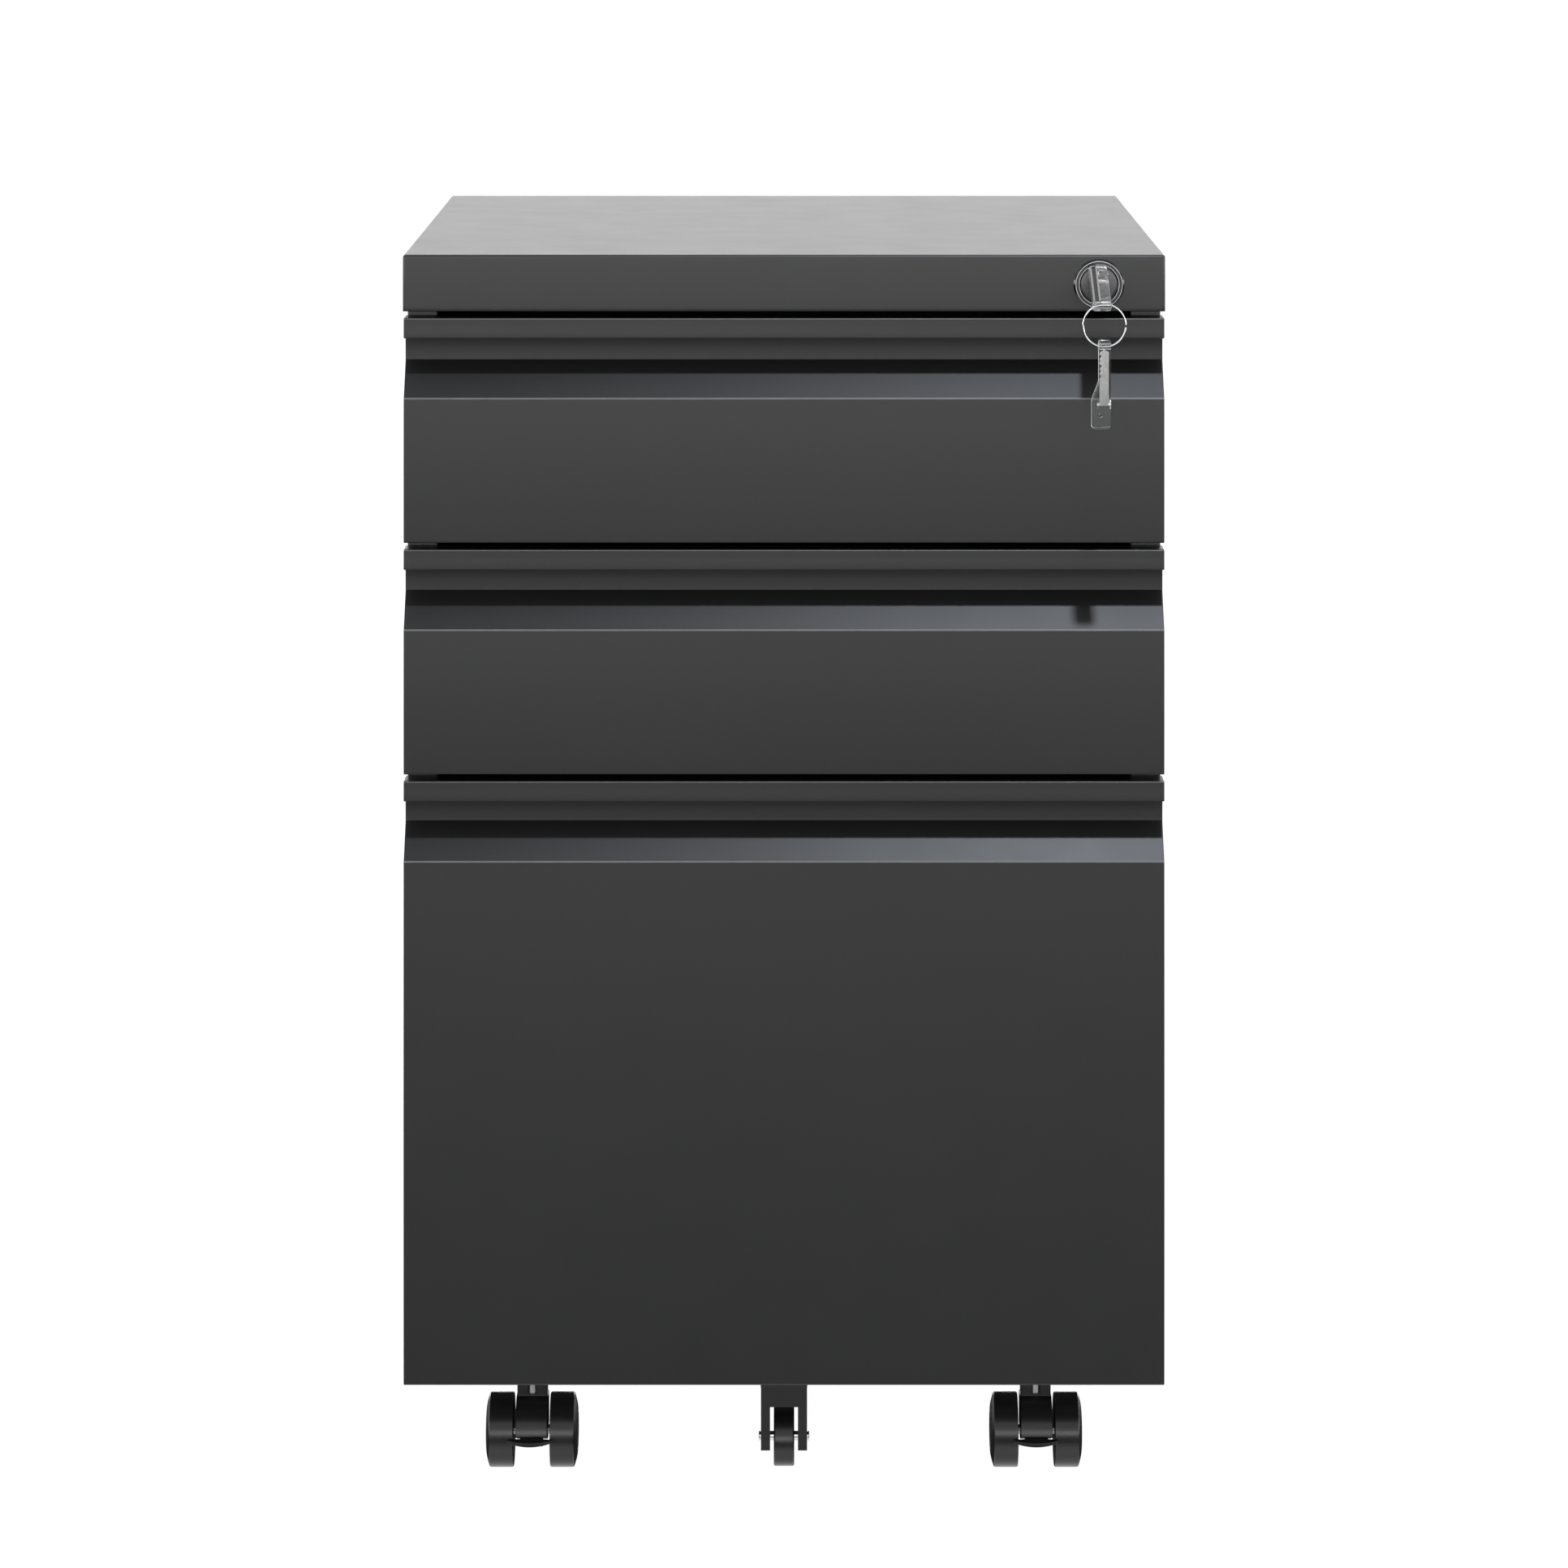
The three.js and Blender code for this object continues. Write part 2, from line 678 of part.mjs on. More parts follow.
// The right-hand wheel: a flat tread with a domed outer face and a blind bore from the inside.
function casterWheel() {
  const treadEdge = WHEEL_OUTER - 2.4;
  const innerChamfer = 0.8;
  const shoulder = WHEEL_OUTER - 0.9;
  const bore = CASTER_AXLE_RADIUS + GAP;
  const boreEnd = 19.4;
  return turned(
    [
      [0, boreEnd],
      [bore, boreEnd],
      [bore, WHEEL_INNER],
      [WHEEL_RADIUS - innerChamfer, WHEEL_INNER],
      [WHEEL_RADIUS, WHEEL_INNER + innerChamfer],
      [WHEEL_RADIUS, treadEdge],
      [WHEEL_RADIUS * 0.72, shoulder],
      [WHEEL_RADIUS * 0.38, WHEEL_OUTER],
      [0, WHEEL_OUTER],
    ],
    "x",
  );
}

// About its own swivel axis, with z from the floor: a threaded stem with a collar and a nut.
function casterStem() {
  const stemBottom = 28;
  const collarRadius = 8;
  const collarBottom = PANEL_BOTTOM - 3;
  const collarTop = PANEL_BOTTOM - GAP;
  const nutRadius = 6.5;
  const nutBottom = PANEL_BOTTOM + PLATE + GAP;
  const nutTop = nutBottom + 5.7;
  const stemTop = nutTop + 4;
  return turned(
    [
      [0, stemBottom],
      [STEM_RADIUS, stemBottom],
      [STEM_RADIUS, collarBottom],
      [collarRadius, collarBottom],
      [collarRadius, collarTop],
      [STEM_RADIUS, collarTop],
      [STEM_RADIUS, nutBottom],
      [nutRadius, nutBottom],
      [nutRadius, nutTop],
      [STEM_RADIUS, nutTop],
      [STEM_RADIUS, stemTop],
      [0, stemTop],
    ],
    "z",
    12,
  );
}

const PEDAL_PIVOT = { y: -10, z: -3 };

// A rounded foot lever in front of the wheels, on a neck that runs back between them and under the hood.
function brakePedal() {
  const tipHalf = 11;
  const tipBack = -20.6;
  const tipSide = -22;
  const tipFront = -26;
  const neckHalf = 7;
  const neckHeight = [-4.2, -1.8];
  const tipHeight = [-2.6, 0];
  const pivotRadius = 2;
  const tip = new THREE.Shape();
  tip.moveTo(-tipHalf, tipBack);
  tip.lineTo(-tipHalf, tipSide);
  tip.quadraticCurveTo(0, 2 * tipFront - tipSide, tipHalf, tipSide);
  tip.lineTo(tipHalf, tipBack);
  const neck = new THREE.Shape();
  neck.moveTo(-neckHalf, tipSide);
  neck.lineTo(neckHalf, tipSide);
  neck.lineTo(neckHalf, PEDAL_PIVOT.y);
  neck.lineTo(-neckHalf, PEDAL_PIVOT.y);
  return join(
    prism(tip, "z", ...tipHeight, 6),
    prism(neck, "z", ...neckHeight),
    rod("x", [PEDAL_PIVOT.y, PEDAL_PIVOT.z], pivotRadius, -neckHalf, neckHalf),
  );
}

function addCaster(cabinet, { name, x, axle, stem, brake }) {
  const stemMesh = mesh(`${name}_stem`, casterStem(), GALVANISED);
  stemMesh.position.set(x, stem, 0);
  cabinet.add(stemMesh);
  const swivel = new THREE.Group();
  swivel.position.set(x, axle, WHEEL_RADIUS);
  swivel.add(
    mesh(`${name}_hood`, casterHood(), BLACK_PLASTIC),
    mesh(`${name}_axle`, casterAxle(), GALVANISED),
    mesh(`${name}_wheel_right`, casterWheel(), BLACK_PLASTIC),
    mesh(`${name}_wheel_left`, mirrored(casterWheel()), BLACK_PLASTIC),
  );
  if (brake) swivel.add(mesh(`${name}_brake_pedal`, brakePedal(), BLACK_PLASTIC));
  cabinet.add(swivel);
}

// ---- Fifth wheel -------------------------------------------------------------------------------------

const FIFTH_AXLE_Z = FIFTH_RADIUS + FIFTH_LIFT;
const FIFTH_PIN_RADIUS = 2.5;
const BRACKET_HALF = 11.95;
const BRACKET_FRONT = 36;
const BRACKET_BACK = 66;
const BRACKET_BOTTOM = 13.8;

// A bracket folded from one plate: a flange under the drawer front, a slotted face and two cheeks.
function fifthWheelBracket() {
  const top = FILE_FRONT_BOTTOM - GAP;
  const slotHalf = 7.2;
  const slotTop = 36.2;
  const flangeFront = 3;
  const width = [-BRACKET_HALF, BRACKET_HALF];
  const flange = block(width, [flangeFront, BRACKET_BACK], [top - PLATE, top]);
  const face = cut(
    block(width, [BRACKET_FRONT, BRACKET_FRONT + PLATE], [BRACKET_BOTTOM, top]),
    block([-slotHalf, slotHalf], [BRACKET_FRONT - 1, BRACKET_FRONT + 3], [0, slotTop]),
  );
  const cheekOutline = [
    [BRACKET_FRONT, BRACKET_BOTTOM],
    [FIFTH_SETBACK + 6, BRACKET_BOTTOM - 2],
    [BRACKET_BACK, FIFTH_AXLE_Z + 4],
    [BRACKET_BACK, top],
    [BRACKET_FRONT, top],
  ];
  const cheek = prism(cheekOutline, "x", BRACKET_HALF - PLATE, BRACKET_HALF);
  const pinBore = rod(
    "x",
    [FIFTH_SETBACK, FIFTH_AXLE_Z],
    FIFTH_PIN_RADIUS + GAP,
    -BRACKET_HALF - 1,
    BRACKET_HALF + 1,
  );
  return cut(join(flange, face, cheek, mirrored(cheek)), pinBore);
}

function fifthWheelPin() {
  const half = 13.1;
  return rod("x", [FIFTH_SETBACK, FIFTH_AXLE_Z], FIFTH_PIN_RADIUS, -half, half);
}

function fifthWheel() {
  const half = 5.3;
  const chamfer = 0.6;
  return turned(
    [
      [FIFTH_PIN_RADIUS + GAP, -half],
      [FIFTH_RADIUS - chamfer, -half],
      [FIFTH_RADIUS, -half + chamfer],
      [FIFTH_RADIUS, half - chamfer],
      [FIFTH_RADIUS - chamfer, half],
      [FIFTH_PIN_RADIUS + GAP, half],
    ],
    "x",
  );
}

function addFifthWheel(cabinet) {
  const wheel = mesh("fifth_wheel", fifthWheel(), BLACK_PLASTIC);
  wheel.position.set(0, FIFTH_SETBACK, FIFTH_AXLE_Z);
  cabinet.add(
    mesh("fifth_wheel_bracket", fifthWheelBracket(), POWDER_COAT),
    mesh("fifth_wheel_pin", fifthWheelPin(), GALVANISED),
    wheel,
  );
}

// ---- Assembly ----------------------------------------------------------------------------------------

function addLock(cabinet) {
  const lock = new THREE.Group();
  lock.position.set(LOCK_X, 0, LOCK_Z);
  lock.add(
    mesh("lock_housing", lockHousing(), CHROME),
    mesh("lock_plug", lockPlug(), DARK_STEEL),
  );
  cabinet.add(lock, mesh("lock_bar", lockBar(), GALVANISED));
}

const cabinet = new THREE.Group();
cabinet.position.y = FRONT_Y;
cabinet.add(
  mesh("top_cover", topCover(), POWDER_COAT),
  mesh("carcass_wrap", carcassWrap(), POWDER_COAT),
  mesh("base_panel", basePanel(), POWDER_COAT),
);
DRAWERS.forEach((drawer) => addDrawer(cabinet, drawer));
addLock(cabinet);
addKeys(cabinet);
CASTERS.forEach((caster) => addCaster(cabinet, caster));
addFifthWheel(cabinet);

const group = new THREE.Group();
group.add(cabinet);

export default group;
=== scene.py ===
"""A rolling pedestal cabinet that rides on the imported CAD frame. Metres, +Z up, front to -Y."""

import json
import math

import bmesh
import bpy
from mathutils import Matrix, Vector

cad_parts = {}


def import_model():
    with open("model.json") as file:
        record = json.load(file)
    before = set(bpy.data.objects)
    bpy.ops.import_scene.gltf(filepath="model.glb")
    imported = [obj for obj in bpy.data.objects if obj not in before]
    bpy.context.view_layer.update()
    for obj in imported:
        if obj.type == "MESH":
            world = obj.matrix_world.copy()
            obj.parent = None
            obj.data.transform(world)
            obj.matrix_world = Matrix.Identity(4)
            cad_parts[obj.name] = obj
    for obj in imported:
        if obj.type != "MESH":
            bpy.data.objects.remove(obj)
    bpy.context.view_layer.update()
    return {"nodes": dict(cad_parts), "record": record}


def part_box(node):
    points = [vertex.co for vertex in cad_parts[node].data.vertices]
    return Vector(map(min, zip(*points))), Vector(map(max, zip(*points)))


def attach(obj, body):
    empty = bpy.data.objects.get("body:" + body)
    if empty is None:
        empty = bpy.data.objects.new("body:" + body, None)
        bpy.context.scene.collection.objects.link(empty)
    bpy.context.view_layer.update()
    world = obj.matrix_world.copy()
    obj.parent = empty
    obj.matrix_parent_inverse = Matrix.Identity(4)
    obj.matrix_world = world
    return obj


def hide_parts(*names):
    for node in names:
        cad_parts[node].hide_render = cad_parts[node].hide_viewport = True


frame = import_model()

RECORD = frame["record"]
BODY_OF = {node: body for body, nodes in RECORD["behaviour"]["bodies"].items() for node in nodes}
SLOT_OF = {part["node"]: part["material_slot"] for part in RECORD["subparts"]}
PLACE_OF = {joint["name"]: Vector(joint["pos_m"]) for joint in RECORD["behaviour"]["joints"]}
MM = 0.001
DRAWERS = ["top_drawer", "middle_drawer", "file_drawer"]
CASTERS = ["front_left_caster", "front_right_caster", "rear_left_caster", "rear_right_caster"]

# ---- Materials ----------------------------------------------------------------------------------------

# Sockets of a mix node that blends colours, by place, because its sockets share their names.
MIX_COLOURS, MIX_RESULT = (6, 7), 2


class Shader:
    """A node material around one Principled shader, with object coordinates in metres."""

    def __init__(self, name):
        self.material = bpy.data.materials.new(name)
        self.material.use_nodes = True
        self.nodes = self.material.node_tree.nodes
        self.links = self.material.node_tree.links
        self.base = self.nodes["Principled BSDF"]
        self.place = self.nodes.new("ShaderNodeTexCoord").outputs["Object"]

    def node(self, kind, inputs=None, **settings):
        made = self.nodes.new(kind)
        for key, value in settings.items():
            setattr(made, key, value)
        for key, value in (inputs or {}).items():
            if isinstance(value, bpy.types.NodeSocket):
                self.links.new(value, made.inputs[key])
            else:
                made.inputs[key].default_value = value
        return made

    def set(self, **values):
        """Sets inputs of the Principled shader; an underscore stands for a space."""
        for key, value in values.items():
            socket = self.base.inputs[key.replace("_", " ")]
            if isinstance(value, bpy.types.NodeSocket):
                self.links.new(value, socket)
            else:
                socket.default_value = value

    def noise(self, scale, detail=2.0, roughness=0.5, stretch=None):
        place = self.place
        if stretch:
            place = self.node("ShaderNodeMapping", {"Vector": place, "Scale": stretch}).outputs[0]
        inputs = {"Vector": place, "Scale": scale, "Detail": detail, "Roughness": roughness}
        return self.node("ShaderNodeTexNoise", inputs).outputs["Fac"]

    def cells(self, scale):
        inputs = {"Vector": self.place, "Scale": scale}
        return self.node("ShaderNodeTexVoronoi", inputs).outputs["Distance"]

    def span(self, value, low, high, source=(0.0, 1.0)):
        inputs = {
            "Value": value,
            "From Min": source[0],
            "From Max": source[1],
            "To Min": low,
            "To Max": high,
        }
        return self.node("ShaderNodeMapRange", inputs).outputs["Result"]

    def math(self, operation, a, b=0.0):
        return self.node("ShaderNodeMath", {0: a, 1: b}, operation=operation).outputs[0]

    def shade(self, factor, dark, light):
        """From dark to light; dark is a colour or another node's output."""
        first = dark if isinstance(dark, bpy.types.NodeSocket) else (*dark, 1)
        inputs = {"Factor": factor, MIX_COLOURS[0]: first, MIX_COLOURS[1]: (*light, 1)}
        return self.node("ShaderNodeMix", inputs, data_type="RGBA").outputs[MIX_RESULT]

    def bump(self, height, distance, strength):
        inputs = {"Height": height, "Distance": distance, "Strength": strength}
        return self.node("ShaderNodeBump", inputs).outputs["Normal"]


def powder_coat():
    """Fine orange peel with a soft sheen, lighter specks of cured powder, and a painted highlight on the
    front bends.
    """
    s = Shader("powder_coat")
    uneven = s.noise(6.0, 3.0)
    specks = s.span(s.cells(2600.0), 1.0, 0.0, (0.0, 0.22))
    tint = s.shade(uneven, (0.0050, 0.0050, 0.0052), (0.0080, 0.0080, 0.0083))
    speckled = s.shade(s.math("MULTIPLY", specks, 0.35), tint, (0.02, 0.02, 0.021))
    # Painted highlight: the bends marked in the mesh are lightened towards pale grey here, as if lit.
    painted_highlight = s.node("ShaderNodeAttribute", None, attribute_name="painted_highlight").outputs["Fac"]
    bend_highlight = s.math("MULTIPLY", painted_highlight, s.span(s.noise(120.0, 3.0), 0.7, 1.0))
    tone = s.shade(bend_highlight, speckled, (0.16, 0.16, 0.162))
    peel = s.noise(900.0, 2.0)
    ripple = s.noise(240.0, 1.0)
    height = s.math("ADD", s.math("MULTIPLY", peel, 0.4), ripple)
    s.set(
        Base_Color=tone,
        Roughness=s.span(s.noise(35.0, 4.0), 0.34, 0.385),
        IOR=1.5,
        Normal=s.bump(height, 0.00001, 0.5),
    )
    return s.material


def zinc_steel():
    """Rolled and zinc-plated steel: long fine streaks and cloudy patches."""
    s = Shader("zinc_steel")
    streaks = s.noise(900.0, 3.0, 0.6, (1.0, 0.02, 1.0))
    clouds = s.noise(60.0, 4.0)
    s.set(
        Base_Color=s.shade(clouds, (0.42, 0.43, 0.44), (0.62, 0.63, 0.64)),
        Metallic=1.0,
        Roughness=s.span(streaks, 0.24, 0.42),
        Normal=s.bump(streaks, 0.00001, 0.4),
    )
    return s.material


def chrome(dull, bright, name="chrome"):
    """Plate with faint polishing haze."""
    s = Shader(name)
    haze = s.noise(700.0, 3.0)
    s.set(
        Base_Color=s.shade(haze, dull, bright),
        Metallic=1.0,
        Roughness=s.span(haze, 0.06, 0.15),
        Normal=s.bump(s.noise(1500.0), 0.000004, 0.3),
    )
    return s.material


def dark_steel():
    """A turned face in dark nickel, with fine concentric tool marks about the lock's axis."""
    s = Shader("dark_steel")
    lock = PLACE_OF["lock_turn"]
    centred = s.node("ShaderNodeVectorMath", {0: s.place, 1: lock}, operation="SUBTRACT")
    across = {0: centred.outputs[0], 1: (1, 0, 1)}
    flat = s.node("ShaderNodeVectorMath", across, operation="MULTIPLY")
    radius = s.node("ShaderNodeVectorMath", {0: flat.outputs[0]}, operation="LENGTH")
    marks = s.math("SINE", s.math("MULTIPLY", radius.outputs["Value"], 9000.0))
    tone = s.noise(500.0, 3.0)
    s.set(
        Base_Color=s.shade(tone, (0.06, 0.06, 0.062), (0.10, 0.10, 0.103)),
        Metallic=1.0,
        Roughness=s.span(tone, 0.22, 0.36),
        Normal=s.bump(marks, 0.000002, 0.4),
    )
    return s.material


def key_metal():
    """Nickel-plated brass, tumbled, with fine scratches along the blade."""
    s = Shader("key_metal")
    scratches = s.noise(1600.0, 3.0, 0.6, (1.0, 0.15, 0.15))
    s.set(
        Base_Color=s.shade(s.noise(400.0), (0.45, 0.45, 0.44), (0.62, 0.62, 0.61)),
        Metallic=1.0,
        Roughness=s.span(scratches, 0.08, 0.16),
        Normal=s.bump(scratches, 0.000004, 0.3),
    )
    return s.material


def clear_plastic():
    """Clear moulded acrylic, a little hazy, with faint flow lines."""
    s = Shader("clear_plastic")
    flow = s.noise(180.0, 2.0, 0.5, (1.0, 0.3, 1.0))
    s.set(
        Base_Color=s.shade(flow, (0.93, 0.95, 0.96), (0.98, 0.985, 0.99)),
        Transmission_Weight=1.0,
        Roughness=s.span(flow, 0.03, 0.07),
        IOR=1.46,
        Normal=s.bump(flow, 0.00002, 0.5),
    )
    return s.material


def black_plastic():
    """Moulded black nylon with a fine matt grain."""
    s = Shader("black_plastic")
    grain = s.noise(2200.0, 2.0)
    s.set(
        Base_Color=s.shade(s.noise(90.0, 3.0), (0.008, 0.008, 0.0082), (0.014, 0.014, 0.0142)),
        Roughness=s.span(s.noise(160.0, 3.0), 0.24, 0.34),
        IOR=1.5,
        Normal=s.bump(grain, 0.000008, 0.35),
    )
    return s.material


MATERIALS = {
    "powder_coat": powder_coat(),
    "zinc_steel": zinc_steel(),
    "chrome": chrome((0.72, 0.72, 0.73), (0.86, 0.86, 0.87)),
    "dark_steel": dark_steel(),
    "key_metal": key_metal(),
    "clear_plastic": clear_plastic(),
    "black_plastic": black_plastic(),
}

# ---- Mesh building ------------------------------------------------------------------------------------


def object_of(name, shape):
    """A bmesh as a linked object, its faces turned outwards."""
    bmesh.ops.remove_doubles(shape, verts=shape.verts, dist=1e-7)
    bmesh.ops.recalc_face_normals(shape, faces=shape.faces)
    mesh = bpy.data.meshes.new(name)
    shape.to_mesh(mesh)
    shape.free()
    made = bpy.data.objects.new(name, mesh)
    bpy.context.scene.collection.objects.link(made)
    return made


def solid(points, faces):
    shape = bmesh.new()
    made = [shape.verts.new(p) for p in points]
    for face in faces:
        shape.faces.new([made[i] for i in face])
    return shape


def with_modifiers(piece):
    """The piece with its modifiers worked into its mesh."""
    evaluated = piece.evaluated_get(bpy.context.evaluated_depsgraph_get())
    mesh = bpy.data.meshes.new_from_object(evaluated)
    piece.modifiers.clear()
    piece.data = mesh
    return piece


def bevel(piece, width, segments=3, angle=30):
    modifier = piece.modifiers.new("bevel", "BEVEL")
    modifier.width = width * MM
    modifier.segments = segments
    modifier.limit_method = "ANGLE"
    modifier.angle_limit = math.radians(angle)
    modifier.use_clamp_overlap = True
    return piece


def combine(piece, other, operation):
    """piece united with other, or with other cut out of it; other is used up."""
    modifier = piece.modifiers.new("combine", "BOOLEAN")
    modifier.operation = operation
    modifier.solver = "EXACT"
    modifier.object = other
    with_modifiers(piece)
    bpy.data.objects.remove(other)
    return piece


def smooth(piece, angle=32):
    """Soft bends beside truly flat faces."""
    for face in piece.data.polygons:
        face.use_smooth = True
    piece.data.set_sharp_from_angle(angle=math.radians(angle))
    normals = piece.modifiers.new("normals", "WEIGHTED_NORMAL")
    normals.keep_sharp = True
    return piece


def mark_bends(piece, painted_highlight):
    """Paints a highlight on the narrow faces of the bends near the front that face forward and up; the
    powder coat lightens them.
    """
    mesh = piece.data
    front = min(corner.co.y for corner in mesh.vertices)
    marks = mesh.attributes.new("painted_highlight", "FLOAT", "FACE")
    for face, mark in zip(mesh.polygons, marks.data):
        corners = [mesh.vertices[i].co for i in face.vertices]
        longest = max((a - b).length for a, b in zip(corners, corners[1:] + corners[:1]))
        narrow = face.area / longest < 0.6 * MM
        outward = face.normal.y < 0 and 0.02 < face.normal.z < 0.7
        mark.value = painted_highlight if narrow and outward and face.center.y - front < 2.5 * MM else 0.0


def place(piece, nodes, angle=32, painted_highlight=0.85):
    """Finishes a piece that stands for CAD nodes; the record gives its material and body."""
    slot = SLOT_OF[nodes[0]]
    # Powder-coated pieces get the painted highlight along their front bends.
    if slot == "powder_coat":
        mark_bends(piece, painted_highlight)
    piece.data.materials.clear()
    piece.data.materials.append(MATERIALS[slot])
    smooth(piece, angle)
    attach(piece, BODY_OF[nodes[0]])
    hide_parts(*nodes)
    return piece


def rounded(path, closed=False, steps=5):
    """A path of (u, v, radius) points with each corner turned into an arc."""
    out = []
    count = len(path)
    for i, (u, v, radius) in enumerate(path):
        corner = Vector((u, v))
        if radius <= 0 or (not closed and i in (0, count - 1)):
            out.append((u, v))
            continue
        before = (Vector(path[i - 1][:2]) - corner).normalized()
        after = (Vector(path[(i + 1) % count][:2]) - corner).normalized()
        half = math.acos(max(-1.0, min(1.0, before.dot(after)))) / 2
        reach = radius / math.tan(half)
        centre = corner + (before + after).normalized() * (radius / math.sin(half))
        start = corner + before * reach - centre
        end = corner + after * reach - centre
        turn = start.angle_signed(end)
        for k in range(steps + 1):
            arm = start.copy()
            arm.rotate(Matrix.Rotation(-turn * k / steps, 2))
            out.append(tuple(centre + arm))
    return out


def offset(path, distance):
    """An open path moved to the left of its own direction, with mitred corners."""
    points = [Vector(p) for p in path]
    count = len(points)
    out = []
    for i, point in enumerate(points):
        ahead = points[i + 1] - point if i < count - 1 else None
        behind = point - points[i - 1] if i > 0 else None
        sides = [Vector((-d.y, d.x)).normalized() for d in (behind, ahead) if d is not None]
        mitre = sides[0] + sides[-1] if len(sides) == 2 else sides[0] * 2
        dot = sides[0].dot(sides[-1])
        out.append(tuple(point + mitre * (distance / (1 + dot if len(sides) == 2 else 2))))
    return out


AXES = {
    "x": lambda u, v, w: (w, u, v),
    "y": lambda u, v, w: (u, w, v),
    "z": lambda u, v, w: (u, v, w),
}


def extrusion(outline, axis, low, high, origin=(0, 0, 0)):
    """A closed outline in millimetres pushed along an axis; origin is in metres."""
    turn = AXES[axis]
    start = Vector(origin)
    count = len(outline)
    points = [Vector(turn(u, v, w)) * MM + start for w in (low, high) for u, v in outline]
    faces = [list(range(count)), list(range(count, 2 * count))]
    faces += [
        (i, (i + 1) % count, count + (i + 1) % count, count + i) for i in range(count)
    ]
    return solid(points, faces)


def box_shape(low, high):
    """A closed box between two corners in metres."""
    outline = [(low[0], low[1]), (high[0], low[1]), (high[0], high[1]), (low[0], high[1])]
    return extrusion([(u / MM, v / MM) for u, v in outline], "z", low[2] / MM, high[2] / MM)


def lathe(profile, axis, centre, segments=96):
    """A profile of (radius, along) millimetres turned about an axis through a point in metres."""
    rings, points = [], []
    for radius, along in profile:
        if radius < 1e-6:
            rings.append([len(points)])
            points.append(axis_point(axis, 0, 0, along, centre))
            continue
        rings.append([])
        for i in range(segments):
            angle = 2 * math.pi * i / segments
            rings[-1].append(len(points))
            points.append(
                axis_point(axis, radius * math.cos(angle), radius * math.sin(angle), along, centre)
            )
    faces = []
    pairs = list(zip(rings, rings[1:]))
    if len(rings[0]) > 1 or len(rings[-1]) > 1:
        pairs.append((rings[-1], rings[0]))
    for a, b in pairs:
        for i in range(segments):
            j = (i + 1) % segments
            face = [a[i % len(a)], a[j % len(a)], b[j % len(b)], b[i % len(b)]]
            unique = list(dict.fromkeys(face))
            if len(unique) > 2:
                faces.append(unique)
    return solid(points, faces)


def axis_point(axis, u, v, w, centre):
    return Vector(AXES[axis](u, v, w)) * MM + Vector(centre)


def middle(node):
    low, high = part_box(node)
    return (low + high) / 2


# ---- Casing and drawer fronts -------------------------------------------------------------------------

SHEET = 1.0
LIP, RECESS, SLOPE, RECESS_DEPTH = 10.4, 12.1, 18.6, 16.0
COVER_SETBACK, CROWN_STEPS = 0.5, 9


def bulged(start, end, crown, steps=8):
    """Points from start to end along a shallow arc that stands out by crown to the right."""
    a, b = Vector(start), Vector(end)
    along = b - a
    side = Vector((along.y, -along.x)).normalized()
    points = []
    for k in range(1, steps):
        t = k / steps
        points.append(tuple(a + along * t + side * (4 * crown * t * (1 - t))))
    return points


def front_path(height, back, crown):
    """Side view of a drawer front, (y, z) from its bottom front edge, with bend radii."""
    lip_bottom = height - LIP
    recess_bottom = lip_bottom - RECESS
    slope_bottom = recess_bottom - SLOPE
    corners = [(back, height, 0), (0, height, 0.6)]
    corners += [(u, v, 0) for u, v in bulged((0.12, height - 1.2), (0, lip_bottom + 0.8), 0.05, 4)]
    corners += [(0, lip_bottom, 0.6), (RECESS_DEPTH - 0.7, lip_bottom, 0.8)]
    corners += [(RECESS_DEPTH - 0.22, lip_bottom - 3.5, 0), (RECESS_DEPTH - 0.05, lip_bottom - 7, 0)]
    corners += [(RECESS_DEPTH, recess_bottom, 0.8), (0, slope_bottom, 1.3)]
    corners += [(u, v, 0) for u, v in bulged((0, slope_bottom - 1.5), (0, 1.4), crown, 10)]
    corners += [(0, 0, 1.2), (back, 0, 0)]
    return rounded(corners)


def drawer_front(name):
    """A folded pan with welded ends, open at the back."""
    low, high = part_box(name + "_front")
    height, depth = (high.z - low.z) / MM, (high.y - low.y) / MM
    half = high.x / MM
    crown = 0.35 if height < 200 else 0.9
    origin = (0, low.y, low.z)
    path = front_path(height, depth, crown)
    pan = object_of(name + "_face", extrusion(path, "x", -half, half, origin))
    hollow = offset(front_path(height, depth + 1, crown), SHEET)
    inside = object_of("inside", extrusion(hollow, "x", SHEET - half, half - SHEET, origin))
    combine(pan, inside, "DIFFERENCE")
    bevel(pan, 0.3, 2, 50)
    with_modifiers(pan)
    return place(pan, [name + "_front"], 20)


